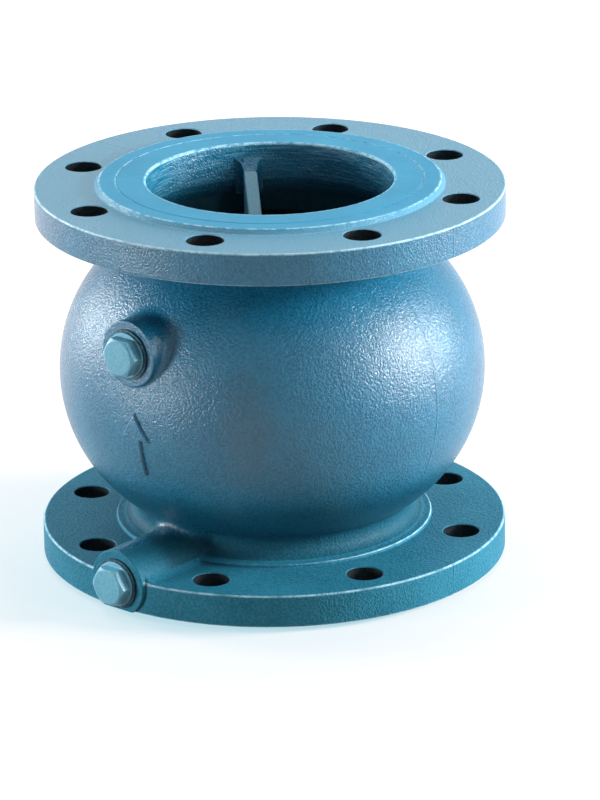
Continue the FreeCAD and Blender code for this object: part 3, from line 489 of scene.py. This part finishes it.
cutters = []
for low, high, r in ((RIM_FRONT, RIM_BACK, INLET_HOLE),
                     (FACE_TO_FACE - RIM_BACK, FACE_TO_FACE - RIM_FRONT, OUTLET_HOLE)):
    for number in range(BOLT_COUNT):
        a = math.radians((number + 0.5) * 360 / BOLT_COUNT)
        cutters.append(drill(BOLT_CIRCLE * math.cos(a), BOLT_CIRCLE * math.sin(a), (
            (r + 3, low - 3 + BREAK), (r + BREAK, low), (r, low + BREAK),
            (r, high - BREAK), (r + BREAK, high), (r + 3, high + 3 - BREAK))))
for number in range(3):
    a = math.radians(120 * number)
    cutters.append(drill(LOCK_CIRCLE * math.cos(a), LOCK_CIRCLE * math.sin(a),
                         ((LOCK_HOLE, 20), (LOCK_HOLE, 32)), 24))
join_or_cut(casting, cutters, "DIFFERENCE")

for height, reach in ((UPPER_TAP_HEIGHT, UPPER_TAP_REACH), (LOWER_TAP_HEIGHT, LOWER_TAP_REACH)):
    tap = drill(0, 0, ((TAP_RADIUS, reach + 5), (TAP_RADIUS, reach - TAP_DEPTH),
                       (TAP_CORE, reach - TAP_DEPTH), (TAP_CORE, BORE_RADIUS)))
    lift = Matrix.Translation((0, 0, height * MM))
    tap.data.transform(lift @ Matrix.Rotation(math.radians(90), 4, "X"))
    join_or_cut(casting, [tap], "DIFFERENCE")

smooth_by_angle(casting)
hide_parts("body")
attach(casting, "housing")


# The coats and the other finishes are put together from shader nodes with these helpers.


def node(tree, kind, inputs=(), **settings):
    """A shader node with its settings, and its inputs set or linked."""
    made = tree.nodes.new(kind)
    for key, value in settings.items():
        setattr(made, key, value)
    for key, value in dict(inputs).items():
        if isinstance(value, bpy.types.NodeSocket):
            tree.links.new(value, made.inputs[key])
        else:
            made.inputs[key].default_value = value
    return made


def reckon(tree, operation, a, b=0.0):
    """One step of arithmetic on numbers that change over the surface."""
    return node(tree, "ShaderNodeMath", {0: a, 1: b}, operation=operation).outputs[0]


def product(tree, first, *factors):
    """Several masks or amounts multiplied together."""
    for factor in factors:
        first = reckon(tree, "MULTIPLY", first, factor)
    return first


def above(tree, value, limit):
    """1 where a distance is more than a limit in millimetres, and 0 elsewhere."""
    return reckon(tree, "GREATER_THAN", value, limit * MM)


def below(tree, value, limit):
    """1 where a distance is less than a limit in millimetres, and 0 elsewhere."""
    return reckon(tree, "LESS_THAN", value, limit * MM)


def spread(tree, value, low, high, to_low=0.0, to_high=1.0):
    """Spreads a value's range from low to high over another, without going past it."""
    return node(tree, "ShaderNodeMapRange", {
        "Value": value, "From Min": low, "From Max": high, "To Min": to_low, "To Max": to_high},
        interpolation_type="SMOOTHSTEP").outputs[0]


def blend(tree, share, first, second):
    """Mixes two colours by a share from 0 to 1."""
    made = node(tree, "ShaderNodeMix", {0: share}, data_type="RGBA")
    for socket, colour in ((made.inputs[6], first), (made.inputs[7], second)):
        if isinstance(colour, bpy.types.NodeSocket):
            tree.links.new(colour, socket)
        else:
            socket.default_value = (*colour, 1)
    return made.outputs[2]


def noise(tree, place, scale, detail=2.0, rough=0.5):
    """Cloudy variation from 0 to 1, with scale clouds to the metre."""
    return node(tree, "ShaderNodeTexNoise", {
        "Vector": place, "Scale": scale, "Detail": detail, "Roughness": rough}).outputs["Fac"]


def effect(name, inputs, outputs):
    """An empty node group, with its named inputs and outputs ready to use."""
    group = bpy.data.node_groups.new(name, "ShaderNodeTree")
    for label, value in inputs:
        kind = "NodeSocketVector" if value is None else "NodeSocketFloat"
        socket = group.interface.new_socket(label, in_out="INPUT", socket_type=kind)
        if value is not None:
            socket.default_value = value
    for label in outputs:
        group.interface.new_socket(label, in_out="OUTPUT", socket_type="NodeSocketFloat")
    start = group.nodes.new("NodeGroupInput")
    end = group.nodes.new("NodeGroupOutput")
    return group, start.outputs, end.inputs


def surface(name, roughness, specular=0.5, metallic=0.0):
    """A new material with its shader, and the place on the piece that its nodes start from."""
    material = bpy.data.materials.new(name)
    material.use_nodes = True
    tree = material.node_tree
    shader = tree.nodes["Principled BSDF"]
    shader.inputs["Roughness"].default_value = roughness
    shader.inputs["Specular IOR Level"].default_value = specular
    shader.inputs["Metallic"].default_value = metallic
    place = node(tree, "ShaderNodeTexCoord").outputs["Object"]
    return material, tree, shader, place


def vectors(tree, operation, a, b=(0, 0, 0)):
    """One step of arithmetic on places, which gives a number for a length or a dot product."""
    step = node(tree, "ShaderNodeVectorMath", {0: a, 1: b}, operation=operation)
    return step.outputs["Value" if operation in ("LENGTH", "DOT_PRODUCT") else "Vector"]


def emboss(tree, shader, height, strength, distance):
    """Raises and sinks the surface by a height, over a distance in metres."""
    bump = node(tree, "ShaderNodeBump", {"Height": height, "Strength": strength, "Distance": distance})
    tree.links.new(bump.outputs["Normal"], shader.inputs["Normal"])


def axial(tree, place):
    """Distance from the valve's axis and height, and the place's own three numbers."""
    parts = node(tree, "ShaderNodeSeparateXYZ", {0: place}).outputs
    level = vectors(tree, "MULTIPLY", place, (1, 1, 0))
    radius = vectors(tree, "LENGTH", level)
    return radius, parts["Z"], parts


# Sand skin: the pebbled surface that moulding sand leaves under a coat of paint.
sand_skin, given, result = effect("sand_skin", [("Place", None), ("Grain Size", 0.0015)],
                                  ["Height", "Speckle", "Patches"])
frequency = reckon(sand_skin, "DIVIDE", 1.0, given["Grain Size"])
fine = noise(sand_skin, given["Place"], frequency, 2.0, 0.65)
lumps = noise(sand_skin, given["Place"], reckon(sand_skin, "MULTIPLY", frequency, 0.3), 2.0)
sand_skin.links.new(reckon(sand_skin, "ADD", fine, product(sand_skin, lumps, 0.15)), result["Height"])
sand_skin.links.new(spread(sand_skin, fine, 0.36, 0.64), result["Speckle"])
sand_skin.links.new(spread(sand_skin, noise(sand_skin, given["Place"], 24.0, 4.0, 0.6), 0.3, 0.7),
                    result["Patches"])

# Painted edge highlight: a pale line painted along a turned corner, standing in for the light that it
# catches.
painted_highlight_edge, given, result = effect(
    "painted_highlight_edge", [("Radius", 0.0), ("Height", 0.0), ("Edge Radius", 0.1), ("Edge Height", 0.1),
                  ("Width", 0.001)], ["Mask"])
across = reckon(painted_highlight_edge, "SUBTRACT", given["Radius"], given["Edge Radius"])
along = reckon(painted_highlight_edge, "SUBTRACT", given["Height"], given["Edge Height"])
squares = reckon(painted_highlight_edge, "ADD", product(painted_highlight_edge, across, across), product(painted_highlight_edge, along, along))
gap = reckon(painted_highlight_edge, "SQRT", squares)
share = reckon(painted_highlight_edge, "DIVIDE", gap, given["Width"])
painted_highlight_edge.links.new(spread(painted_highlight_edge, share, 0.35, 1.0, 1.0, 0.0), result["Mask"])


def painted_highlight_edges(tree, radius, height, edges):
    """Painted highlights along edges, given as (radius, height, width) in millimetres."""
    mask = 0.0
    for edge_radius, edge_height, width in edges:
        ring = node(tree, "ShaderNodeGroup", {
            "Radius": radius, "Height": height, "Edge Radius": edge_radius * MM,
            "Edge Height": edge_height * MM, "Width": width * MM}, node_tree=painted_highlight_edge)
        mask = reckon(tree, "MAXIMUM", ring.outputs["Mask"], mask)
    return mask


# The pale edge blue is a painted highlight along corners.
ANNULUS_BLUE, EDGE_HIGHLIGHT_BLUE, RIB_HIGHLIGHT_BLUE = (0.075, 0.285, 0.425), (0.40, 0.68, 0.80), (0.26, 0.52, 0.64)
BORE_SHADE, TOOL_STREAK = (0.003, 0.03, 0.05), (0.12, 0.36, 0.47)
# The root's dark blue is painted shade; the brown is a real stain.
PAINTED_ROOT_SHADE, STAIN_BROWN = (0.002, 0.02, 0.032), (0.06, 0.05, 0.03)
# The side vector picks the lit side, where the step's corner gets its painted highlight.
HIGHLIGHT_SIDE, STAIN_MIDDLE = (0.754, 0.657, 0), (0.0727, -0.1078, 0.122)
# The reaches and the starting height of the ribs' painted highlight.
RIB_HIGHLIGHT_REACH, CAP_HIGHLIGHT_REACH, RIB_HIGHLIGHT_FROM = 69.7, 74.7, 130
WALL_REACH, WALL_FROM, STREAKS_FROM = 79.5, 190, 74.4
SEAM_FROM = 83.5


def coated(name, roughness, specular, deep, mid, fleck):
    """The blue coat over cast iron, from its colour in hollows, on the level and on the grains."""
    material, tree, shader, place = surface(name, roughness, specular)
    radius, height, parts = axial(tree, place)
    skin = node(tree, "ShaderNodeGroup", {"Place": place}, node_tree=sand_skin).outputs
    colour = blend(tree, skin["Patches"], deep, mid)
    colour = blend(tree, product(tree, skin["Speckle"], 0.45), colour, fleck)
    annulus = product(tree, above(tree, height, FACE_TO_FACE - RIM_FRONT - 0.5),
                      above(tree, radius, RAISED_FACE_RADIUS + 0.2))
    colour = blend(tree, annulus, colour, ANNULUS_BLUE)
    # The ribs and their tops are painted a lighter blue, a painted highlight where they catch the
    # light.
    rib = product(tree, below(tree, radius, RIB_HIGHLIGHT_REACH), above(tree, height, RIB_HIGHLIGHT_FROM))
    cap = product(tree, below(tree, radius, CAP_HIGHLIGHT_REACH), above(tree, height, RIB_TOP - 0.6))
    rib = reckon(tree, "MAXIMUM", rib, cap)
    colour = blend(tree, product(tree, rib, 0.8), colour, RIB_HIGHLIGHT_BLUE)
    # The bore's wall darkens inward, and shows the tool's run near its mouth.
    wall = product(tree, below(tree, radius, WALL_REACH), above(tree, height, WALL_FROM),
                   reckon(tree, "SUBTRACT", 1.0, rib))
    shade = spread(tree, height, 0.204, 0.228, 0.85, 0.0)
    colour = blend(tree, product(tree, wall, shade), colour, BORE_SHADE)
    drawn = vectors(tree, "MULTIPLY", place, (1, 1, 22))
    streak = spread(tree, noise(tree, drawn, 60.0, 3.0, 0.6), 0.46, 0.64)
    mouth = product(tree, wall, spread(tree, height, 0.205, 0.23), above(tree, radius, STREAKS_FROM))
    colour = blend(tree, product(tree, mouth, streak, 0.7), colour, TOOL_STREAK)
    # The root of the globe and its lower neck are painted darker, as painted shade.
    root = product(tree, spread(tree, height, 0.055, 0.088, 0.5, 0.0),
                   above(tree, height, STEP_TOP + 0.5), spread(tree, radius, 0.112, 0.125, 1.0, 0.0))
    colour = blend(tree, root, colour, PAINTED_ROOT_SHADE)
    # A faint brown stain shows through the coat, to the right of the taps.
    off = vectors(tree, "MULTIPLY", vectors(tree, "SUBTRACT", place, STAIN_MIDDLE), (1, 1, 0.4))
    ragged = product(tree, noise(tree, place, 90.0, 4.0, 0.6), 0.012)
    stain = spread(tree, reckon(tree, "SUBTRACT", vectors(tree, "LENGTH", off), ragged),
                   0.0, 0.016, 0.22, 0.0)
    colour = blend(tree, stain, colour, STAIN_BROWN)
    # Pale painted highlights run along the turned corners. The step's corner gets its painted highlight
    # on the lit side only.
    edges = painted_highlight_edges(tree, radius, height, (
        (FLANGE_RADIUS, RIM_BACK, 1.5), (FLANGE_RADIUS, RIM_FRONT, 1.0),
        (FLANGE_RADIUS, FACE_TO_FACE - RIM_FRONT, 1.4), (FLANGE_RADIUS, FACE_TO_FACE - RIM_BACK, 1.2),
        (BORE_RADIUS + 0.4, FACE_TO_FACE - 0.8, 1.2)))
    wear_patches_and_highlight_side = spread(tree, vectors(tree, "DOT_PRODUCT", place, HIGHLIGHT_SIDE), 0.0, 0.07, 0.1, 1.0)
    step = product(tree, painted_highlight_edges(tree, radius, height, [(STEP_RADIUS, STEP_TOP, 1.0)]), wear_patches_and_highlight_side)
    broken = spread(tree, noise(tree, place, 160.0, 3.0, 0.6), 0.28, 0.62, 0.3, 1.0)
    colour = blend(tree, product(tree, reckon(tree, "MAXIMUM", edges, step), broken), colour, EDGE_HIGHLIGHT_BLUE)
    tree.links.new(colour, shader.inputs["Base Color"])
    # The mould's parting line runs up both sides, square to the taps.
    seam = product(tree, spread(tree, reckon(tree, "ABSOLUTE", parts["Y"]), 0.0003, 0.0009, 1.0, 0.0),
                   above(tree, radius, SEAM_FROM),
                   spread(tree, noise(tree, place, 45.0, 3.0), 0.4, 0.6, 0.2, 1.0))
    emboss(tree, shader, reckon(tree, "ADD", skin["Height"], product(tree, seam, 0.6)), 1.0, 0.0006)
    return material


coat = coated("blue_coated_casting", 0.27, 0.5,
              (0.001, 0.10, 0.195), (0.004, 0.14, 0.26), (0.03, 0.25, 0.41))
dull_coat = coated("dull_coated_foot", 0.5, 0.1,
                   (0.008, 0.13, 0.205), (0.015, 0.168, 0.26), (0.055, 0.255, 0.37))

# Inside the globe the coat is painted nearly black as painted shade, with a faint mottle, and it hardly
# shines.
inside_shade_coat, tree, shader, place = surface("inside_painted_shade", 0.7, 0.15)
shade_mottle = spread(tree, noise(tree, place, 120.0, 4.0, 0.6), 0.3, 0.7)
colour = blend(tree, shade_mottle, (0.003, 0.028, 0.045), (0.006, 0.045, 0.065))
tree.links.new(colour, shader.inputs["Base Color"])

# The drilled holes stay bare inside, and are painted nearly black as painted shade.
bare, tree, shader, place = surface("drilled_iron_painted_shade", 0.7, 0.15)
shade_mottle = spread(tree, noise(tree, place, 400.0, 3.0, 0.6), 0.35, 0.7)
colour = blend(tree, shade_mottle, (0.004, 0.008, 0.011), (0.012, 0.022, 0.03))
tree.links.new(colour, shader.inputs["Base Color"])

# On the turned faces the same coat lies smooth, so that they look deeper and more even.
face_coat, tree, shader, place = surface("blue_coated_turned_face", 0.30, 0.1)
radius, height, _ = axial(tree, place)
wear_patches_and_highlight_side = spread(tree, noise(tree, place, 30.0, 4.0, 0.6), 0.3, 0.7)
colour = blend(tree, wear_patches_and_highlight_side, (0.012, 0.265, 0.455), (0.02, 0.305, 0.51))
# Pale painted highlights run along the face's edge, its groove and the bore's edge.
edges = painted_highlight_edges(tree, radius, height, (
    (RAISED_FACE_RADIUS + 0.1, FACE_TO_FACE, 1.4), (FACE_GROOVE + 0.3, FACE_TO_FACE - 0.3, 0.7),
    (BORE_RADIUS + 0.4, FACE_TO_FACE, 1.5)))
broken = spread(tree, noise(tree, place, 220.0, 3.0, 0.6), 0.36, 0.6, 0.1, 0.85)
colour = blend(tree, product(tree, edges, broken), colour, EDGE_HIGHLIGHT_BLUE)
tree.links.new(colour, shader.inputs["Base Color"])
skin = node(tree, "ShaderNodeGroup", {"Place": place}, node_tree=sand_skin).outputs
emboss(tree, shader, skin["Height"], 1.0, 0.00012)

# Each face of the casting takes its finish from where it lies. The rest keep the first one.
FACED, FOOT, DRILLED, INSIDE = 1, 2, 3, 4

casting.data.materials.clear()
for material in (coat, face_coat, dull_coat, bare, inside_shade_coat):
    casting.data.materials.append(material)
neck_end = MIDDLE - GLOBE_ARC * math.sin(math.radians(neck_angle))
bolts = [(BOLT_CIRCLE * math.cos(a), BOLT_CIRCLE * math.sin(a))
         for a in (math.radians((number + 0.5) * 360 / BOLT_COUNT) for number in range(BOLT_COUNT))]
for face in casting.data.polygons:
    middle = face.center / MM
    outer = math.hypot(middle.x, middle.y)
    beyond_middle = abs(middle.z - MIDDLE)
    if BORE_RADIUS - 0.1 < outer < RAISED_FACE_RADIUS + 0.4 and beyond_middle > MIDDLE - 0.75:
        face.material_index = FACED
    elif (abs(face.normal.z) < 0.3 and beyond_middle >= MIDDLE - RIM_BACK - 0.1
          and any(math.hypot(middle.x - x, middle.y - y) < INLET_HOLE + 0.35 for x, y in bolts)):
        face.material_index = DRILLED
    elif middle.z < neck_end and outer > MOUTH_RADIUS + 1:
        face.material_index = FOOT
    elif SEAT_FLOOR - 1 < middle.z < RELIEF_START + 2:
        rise = min(CORE_ARC, beyond_middle)
        inner = max(RELIEF_RADIUS, GLOBE_CENTRE + math.sqrt(CORE_ARC ** 2 - rise ** 2))
        if inner - 2.5 < outer < inner + 2:
            face.material_index = INSIDE

# Flow arrow
# A plain arrow stands out of the globe and shows which way the flow runs. It is cast with the
# body from a pattern piece, so its sides slope and its edges are soft.

ARROW_TURN = math.radians(-88)
ARROW_FOOT, ARROW_LENGTH = 84, 41
ARROW_SHAFT, ARROW_HEAD, HEAD_LENGTH = 4.5, 11, 17
ARROW_PROUD, ARROW_SUNK, ARROW_DRAFT = 1.8, 1.2, 1.0
ARROW_STEPS = 8


def arrow_outline(inset):
    """The arrow's outline as (across, along) points, drawn in by an inset."""
    tip = ARROW_LENGTH - inset * math.hypot(ARROW_HEAD, HEAD_LENGTH) / ARROW_HEAD
    base = ARROW_LENGTH - HEAD_LENGTH + inset
    wing = ARROW_HEAD * (tip - base) / HEAD_LENGTH
    shaft = ARROW_SHAFT - inset
    half = [(0, inset), (shaft, inset), (shaft, base), (wing, base), (0, tip)]
    points = []
    for a, b in zip(half, half[1:]):
        shares = [i / ARROW_STEPS for i in range(ARROW_STEPS)]
        points += [(a[0] + (b[0] - a[0]) * t, a[1] + (b[1] - a[1]) * t) for t in shares]
    points.append(half[-1])
    return points + [(-x, y) for x, y in points[-2:0:-1]]


def on_barrel(across, along, proud):
    """A point of the arrow on the globe, from its place on the flat pattern."""
    low = math.asin((ARROW_FOOT - MIDDLE) / GLOBE_ARC)
    lean = low + along / GLOBE_ARC
    radius = GLOBE_CENTRE + (GLOBE_ARC + proud) * math.cos(lean)
    turn = ARROW_TURN + across / radius
    height = MIDDLE + (GLOBE_ARC + proud) * math.sin(lean)
    return (radius * math.cos(turn), radius * math.sin(turn), height)


levels = [(0, -ARROW_SUNK), (0, 0), (ARROW_DRAFT * 0.5, ARROW_PROUD * 0.75),
          (ARROW_DRAFT, ARROW_PROUD * 0.97), (ARROW_DRAFT + 0.4, ARROW_PROUD)]
arrow = skinned("flow_arrow", [[on_barrel(x, y, proud) for x, y in arrow_outline(inset)]
                               for inset, proud in levels], ends=False)
relief = bmesh.new()
relief.from_mesh(arrow.data)
bmesh.ops.holes_fill(relief, edges=[edge for edge in relief.edges if edge.is_boundary])
bmesh.ops.triangulate(relief, faces=[face for face in relief.faces if len(face.verts) > 4])
bmesh.ops.recalc_face_normals(relief, faces=relief.faces)
relief.to_mesh(arrow.data)
relief.free()
smooth_by_angle(arrow, 50)
arrow.data.materials.append(coat)
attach(arrow, "housing")

# Screw plugs
# The two taps are closed by steel plugs with a hexagon head and a collar. They are screwed in
# before the valve is coated, so they carry the same blue, and their faces are smoother.

PLUG_FLATS, PLUG_HEAD, PLUG_COLLAR, COLLAR_RADIUS = 22, 6.5, 1.5, 13.8
PLUG_SHANK, SHANK_RADIUS = 12, 10.4
WASHER_THICKNESS = 1.5
CORNER_ROUND, CROWN_RADIUS, CROWN_SLOPE = 0.9, 10.2, math.radians(30)

plug_coat, tree, shader, place = surface("blue_coated_steel", 0.33, 0.35)
skin = node(tree, "ShaderNodeGroup", {"Place": place, "Grain Size": 0.0014},
            node_tree=sand_skin).outputs
colour = blend(tree, skin["Patches"], (0.07, 0.30, 0.44), (0.11, 0.39, 0.54))
colour = blend(tree, product(tree, skin["Speckle"], 0.35), colour, (0.22, 0.54, 0.68))
tree.links.new(colour, shader.inputs["Base Color"])
emboss(tree, shader, skin["Height"], 0.5, 0.0005)


def hexagon_reach(turn):
    """Distance from the middle to a hexagon's side, with its corners rounded."""
    off = (turn + math.pi / 6) % (math.pi / 3) - math.pi / 6
    side = PLUG_FLATS / 2 / math.cos(math.pi / 6 - abs(off))
    centre = (PLUG_FLATS / 2 - CORNER_ROUND) / math.cos(math.pi / 6)
    touch = math.atan2(CORNER_ROUND / 2, centre + CORNER_ROUND * math.cos(math.pi / 6))
    if abs(off) < touch:
        return centre * math.cos(off) + math.sqrt(CORNER_ROUND ** 2 - (centre * math.sin(off)) ** 2)
    return side


def plug_mesh(name, reach, height):
    """A plug drawn upright on its washer's face, then laid along its tap."""
    sides = 120
    top = PLUG_COLLAR + PLUG_HEAD
    turns = [2 * math.pi * i / sides for i in range(sides)]
    rows = []
    for r, z in ((SHANK_RADIUS - 1.2, -PLUG_SHANK), (SHANK_RADIUS, 1 - PLUG_SHANK), (SHANK_RADIUS, 0),
                 (COLLAR_RADIUS - 0.3, 0), (COLLAR_RADIUS, 0.3), (COLLAR_RADIUS, PLUG_COLLAR - 0.5),
                 (COLLAR_RADIUS - 0.2, PLUG_COLLAR - 0.15), (COLLAR_RADIUS - 0.6, PLUG_COLLAR)):
        rows.append([(r * math.cos(a), r * math.sin(a), z) for a in turns])
    for out, z in ((0.5, PLUG_COLLAR), (0.12, PLUG_COLLAR + 0.12), (0, PLUG_COLLAR + 0.5)):
        reaches = [hexagon_reach(a) + out for a in turns]
        rows.append([(r * math.cos(a), r * math.sin(a), z) for r, a in zip(reaches, turns)])
    for share in (1, 0.75, 0.5, 0.25, 0.0):
        row = []
        for a in turns:
            r = CROWN_RADIUS + (hexagon_reach(a) - CROWN_RADIUS) * share
            drop = (r - CROWN_RADIUS) * math.tan(CROWN_SLOPE)
            row.append((r * math.cos(a), r * math.sin(a), top - drop - (0.12 if share == 1 else 0.03)))
        rows.append(row)
    flat = CROWN_RADIUS - 0.5
    rows.append([(flat * math.cos(a), flat * math.sin(a), top) for a in turns])
    piece = skinned(name, rows)
    laid = Matrix.Translation((0, -(reach + WASHER_THICKNESS) * MM, height * MM))
    piece.data.transform(laid @ Matrix.Rotation(math.radians(90), 4, "X"))
    smooth_by_angle(piece, 26)
    return piece


for side, reach, height in (("upper", UPPER_TAP_REACH, UPPER_TAP_HEIGHT),
                            ("lower", LOWER_TAP_REACH, LOWER_TAP_HEIGHT)):
    plug = plug_mesh(side + "_screw_plug", reach, height)
    plug.data.materials.append(plug_coat)
    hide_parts(side + "_plug")
    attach(plug, "housing")

# Plug washers
# A soft metal washer seals each plug. It is squeezed between the collar and the boss and stays bare of
# thick paint. It is painted nearly black, as painted shade in the gap between collar and boss.

washer_shade_metal, tree, shader, place = surface("washer_painted_shade", 0.42, 0.4, 0.6)
washer_mottle = spread(tree, noise(tree, place, 700.0, 3.0, 0.6), 0.35, 0.7)
colour = blend(tree, washer_mottle, (0.012, 0.035, 0.05), (0.05, 0.12, 0.155))
tree.links.new(colour, shader.inputs["Base Color"])
emboss(tree, shader, washer_mottle, 0.4, 0.0002)


def dress(name, material):
    """Gives a CAD node its material, in every slot that it has."""
    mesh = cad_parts[name].data
    mesh.materials.clear()
    mesh.materials.append(material)


for name in ("upper_plug_washer", "lower_plug_washer"):
    dress(name, washer_shade_metal)

# Seat ring, disc and seal retainer
# The seat ring is cast bronze, turned all over and screwed into the inlet. Its three arms
# carry the lower guide. The disc and its seal retainer are turned from the same bronze.

# Turning marks: the fine rings that a lathe leaves, and the smears of handling over them.
turning_marks, given, result = effect("turning_marks", [("Place", None), ("Pitch", 0.0006)],
                                      ["Height", "Smear"])
radius, height, _ = axial(turning_marks, given["Place"])
wander = noise(turning_marks, given["Place"], 60.0, 2.0)
walk = reckon(turning_marks, "ADD", reckon(turning_marks, "ADD", radius, height),
              product(turning_marks, wander, 0.0004))
phase = reckon(turning_marks, "DIVIDE", product(turning_marks, walk, 2 * math.pi), given["Pitch"])
turning_marks.links.new(reckon(turning_marks, "SINE", phase), result["Height"])
smear = noise(turning_marks, given["Place"], 35.0, 5.0, 0.65)
turning_marks.links.new(spread(turning_marks, smear, 0.3, 0.7), result["Smear"])


def turned_metal(name, dull, bright, roughness, pitch, strength):
    """A turned metal, with its tool marks and with duller patches that handling leaves."""
    material, tree, shader, place = surface(name, roughness, metallic=1.0)
    marks = node(tree, "ShaderNodeGroup", {"Place": place, "Pitch": pitch},
                 node_tree=turning_marks).outputs
    tree.links.new(blend(tree, marks["Smear"], dull, bright), shader.inputs["Base Color"])
    tree.links.new(spread(tree, marks["Smear"], 0.0, 1.0, roughness + 0.14, roughness - 0.05),
                   shader.inputs["Roughness"])
    emboss(tree, shader, marks["Height"], strength, 0.0001)
    return material


bronze = turned_metal("turned_bronze", (0.36, 0.21, 0.085), (0.62, 0.42, 0.19), 0.34, 0.0007, 0.5)
dress("seat_ring", bronze)
disc_bronze = turned_metal("disc_bronze", (0.30, 0.18, 0.08), (0.56, 0.38, 0.18), 0.38, 0.0009, 0.6)
for name in ("disc", "seal_retainer"):
    dress(name, disc_bronze)

# Disc seal and seat ring's seal
# Both are moulded from black rubber. The disc's ring is clamped by the retainer, and the
# seat ring's lies in a groove of its shoulder.

rubber, tree, shader, place = surface("moulded_rubber", 0.62, 0.35)
bloom = spread(tree, noise(tree, place, 90.0, 4.0, 0.6), 0.35, 0.75)
colour = blend(tree, bloom, (0.012, 0.012, 0.013), (0.04, 0.04, 0.042))
tree.links.new(colour, shader.inputs["Base Color"])
tree.links.new(spread(tree, bloom, 0.0, 1.0, 0.5, 0.72), shader.inputs["Roughness"])
emboss(tree, shader, noise(tree, place, 1500.0, 2.0), 0.25, 0.0001)
for name in ("disc_seal", "seat_o_ring"):
    dress(name, rubber)

# Guide bushes
# The stem slides in two plain bushes of sintered bronze, pressed in from below. Their pores
# hold oil, so they are darker than the cast bronze round them.

porous, tree, shader, place = surface("sintered_bronze", 0.4, metallic=1.0)
pores = spread(tree, noise(tree, place, 1800.0, 2.0, 0.6), 0.3, 0.42)
colour = blend(tree, pores, (0.14, 0.08, 0.035), (0.5, 0.33, 0.15))
tree.links.new(colour, shader.inputs["Base Color"])
tree.links.new(spread(tree, pores, 0.0, 1.0, 0.62, 0.36), shader.inputs["Roughness"])
emboss(tree, shader, pores, 0.4, 0.00015)
for name in ("lower_guide_bush", "upper_guide_bush"):
    dress(name, porous)

# Stem and screws
# The stem, its cross pin, the screws of the retainer and the grub screws of the seat ring are
# turned from stainless steel. The stem is ground smooth where it slides.

stainless = turned_metal("ground_stainless", (0.38, 0.385, 0.39), (0.6, 0.61, 0.62),
                         0.26, 0.00045, 0.3)
for name in ("stem", "stem_pin", "retainer_screws", "seat_lock_screws", "spring_washer"):
    dress(name, stainless)

# Spring
# The closing spring is wound from stainless wire, with one closed coil at each end. It stands in the
# disc's seat and bears on a washer in the hub, toward which the real spring shortens as the disc lifts.
# Here it is one fixed coil that stays with the housing.

SPRING_RADIUS, WIRE_RADIUS = 17.3, 1.75
SPRING_FOOT, SPRING_HEAD = 62, 120
SPRING_TURNS, CLOSED_RISE = 5, 2 * WIRE_RADIUS + 0.2
STEPS_PER_TURN, WIRE_SIDES = 40, 16

wire_start = SPRING_FOOT + WIRE_RADIUS
wire_end = SPRING_HEAD - WIRE_RADIUS
centres = []
for step in range((SPRING_TURNS + 2) * STEPS_PER_TURN + 1):
    turns = step / STEPS_PER_TURN
    if turns < 1:
        rise = CLOSED_RISE * turns
    elif turns > SPRING_TURNS + 1:
        rise = wire_end - wire_start - CLOSED_RISE * (SPRING_TURNS + 2 - turns)
    else:
        rise = CLOSED_RISE + (wire_end - wire_start - 2 * CLOSED_RISE) * (turns - 1) / SPRING_TURNS
    a = 2 * math.pi * turns
    centres.append(Vector((SPRING_RADIUS * math.cos(a), SPRING_RADIUS * math.sin(a),
                           wire_start + rise)))
rows = []
for i, centre in enumerate(centres):
    ahead = (centres[min(i + 1, len(centres) - 1)] - centres[max(i - 1, 0)]).normalized()
    outward = Vector((centre.x, centre.y, 0)).normalized()
    upward = ahead.cross(outward).normalized()
    outward = upward.cross(ahead)
    rows.append([centre + WIRE_RADIUS * (outward * math.cos(t) + upward * math.sin(t))
                 for t in (2 * math.pi * k / WIRE_SIDES for k in range(WIRE_SIDES))])
coil = skinned("closing_spring", rows)
smooth_by_angle(coil, 60)
wire, tree, shader, place = surface("drawn_spring_wire", 0.25, metallic=1.0)
drawn = spread(tree, noise(tree, place, 400.0, 3.0, 0.6), 0.3, 0.7)
colour = blend(tree, drawn, (0.36, 0.365, 0.37), (0.58, 0.59, 0.6))
tree.links.new(colour, shader.inputs["Base Color"])
tree.links.new(spread(tree, drawn, 0.0, 1.0, 0.36, 0.22), shader.inputs["Roughness"])
emboss(tree, shader, drawn, 0.2, 0.0001)
coil.data.materials.append(wire)
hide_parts("spring")
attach(coil, "housing")
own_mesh(coil)
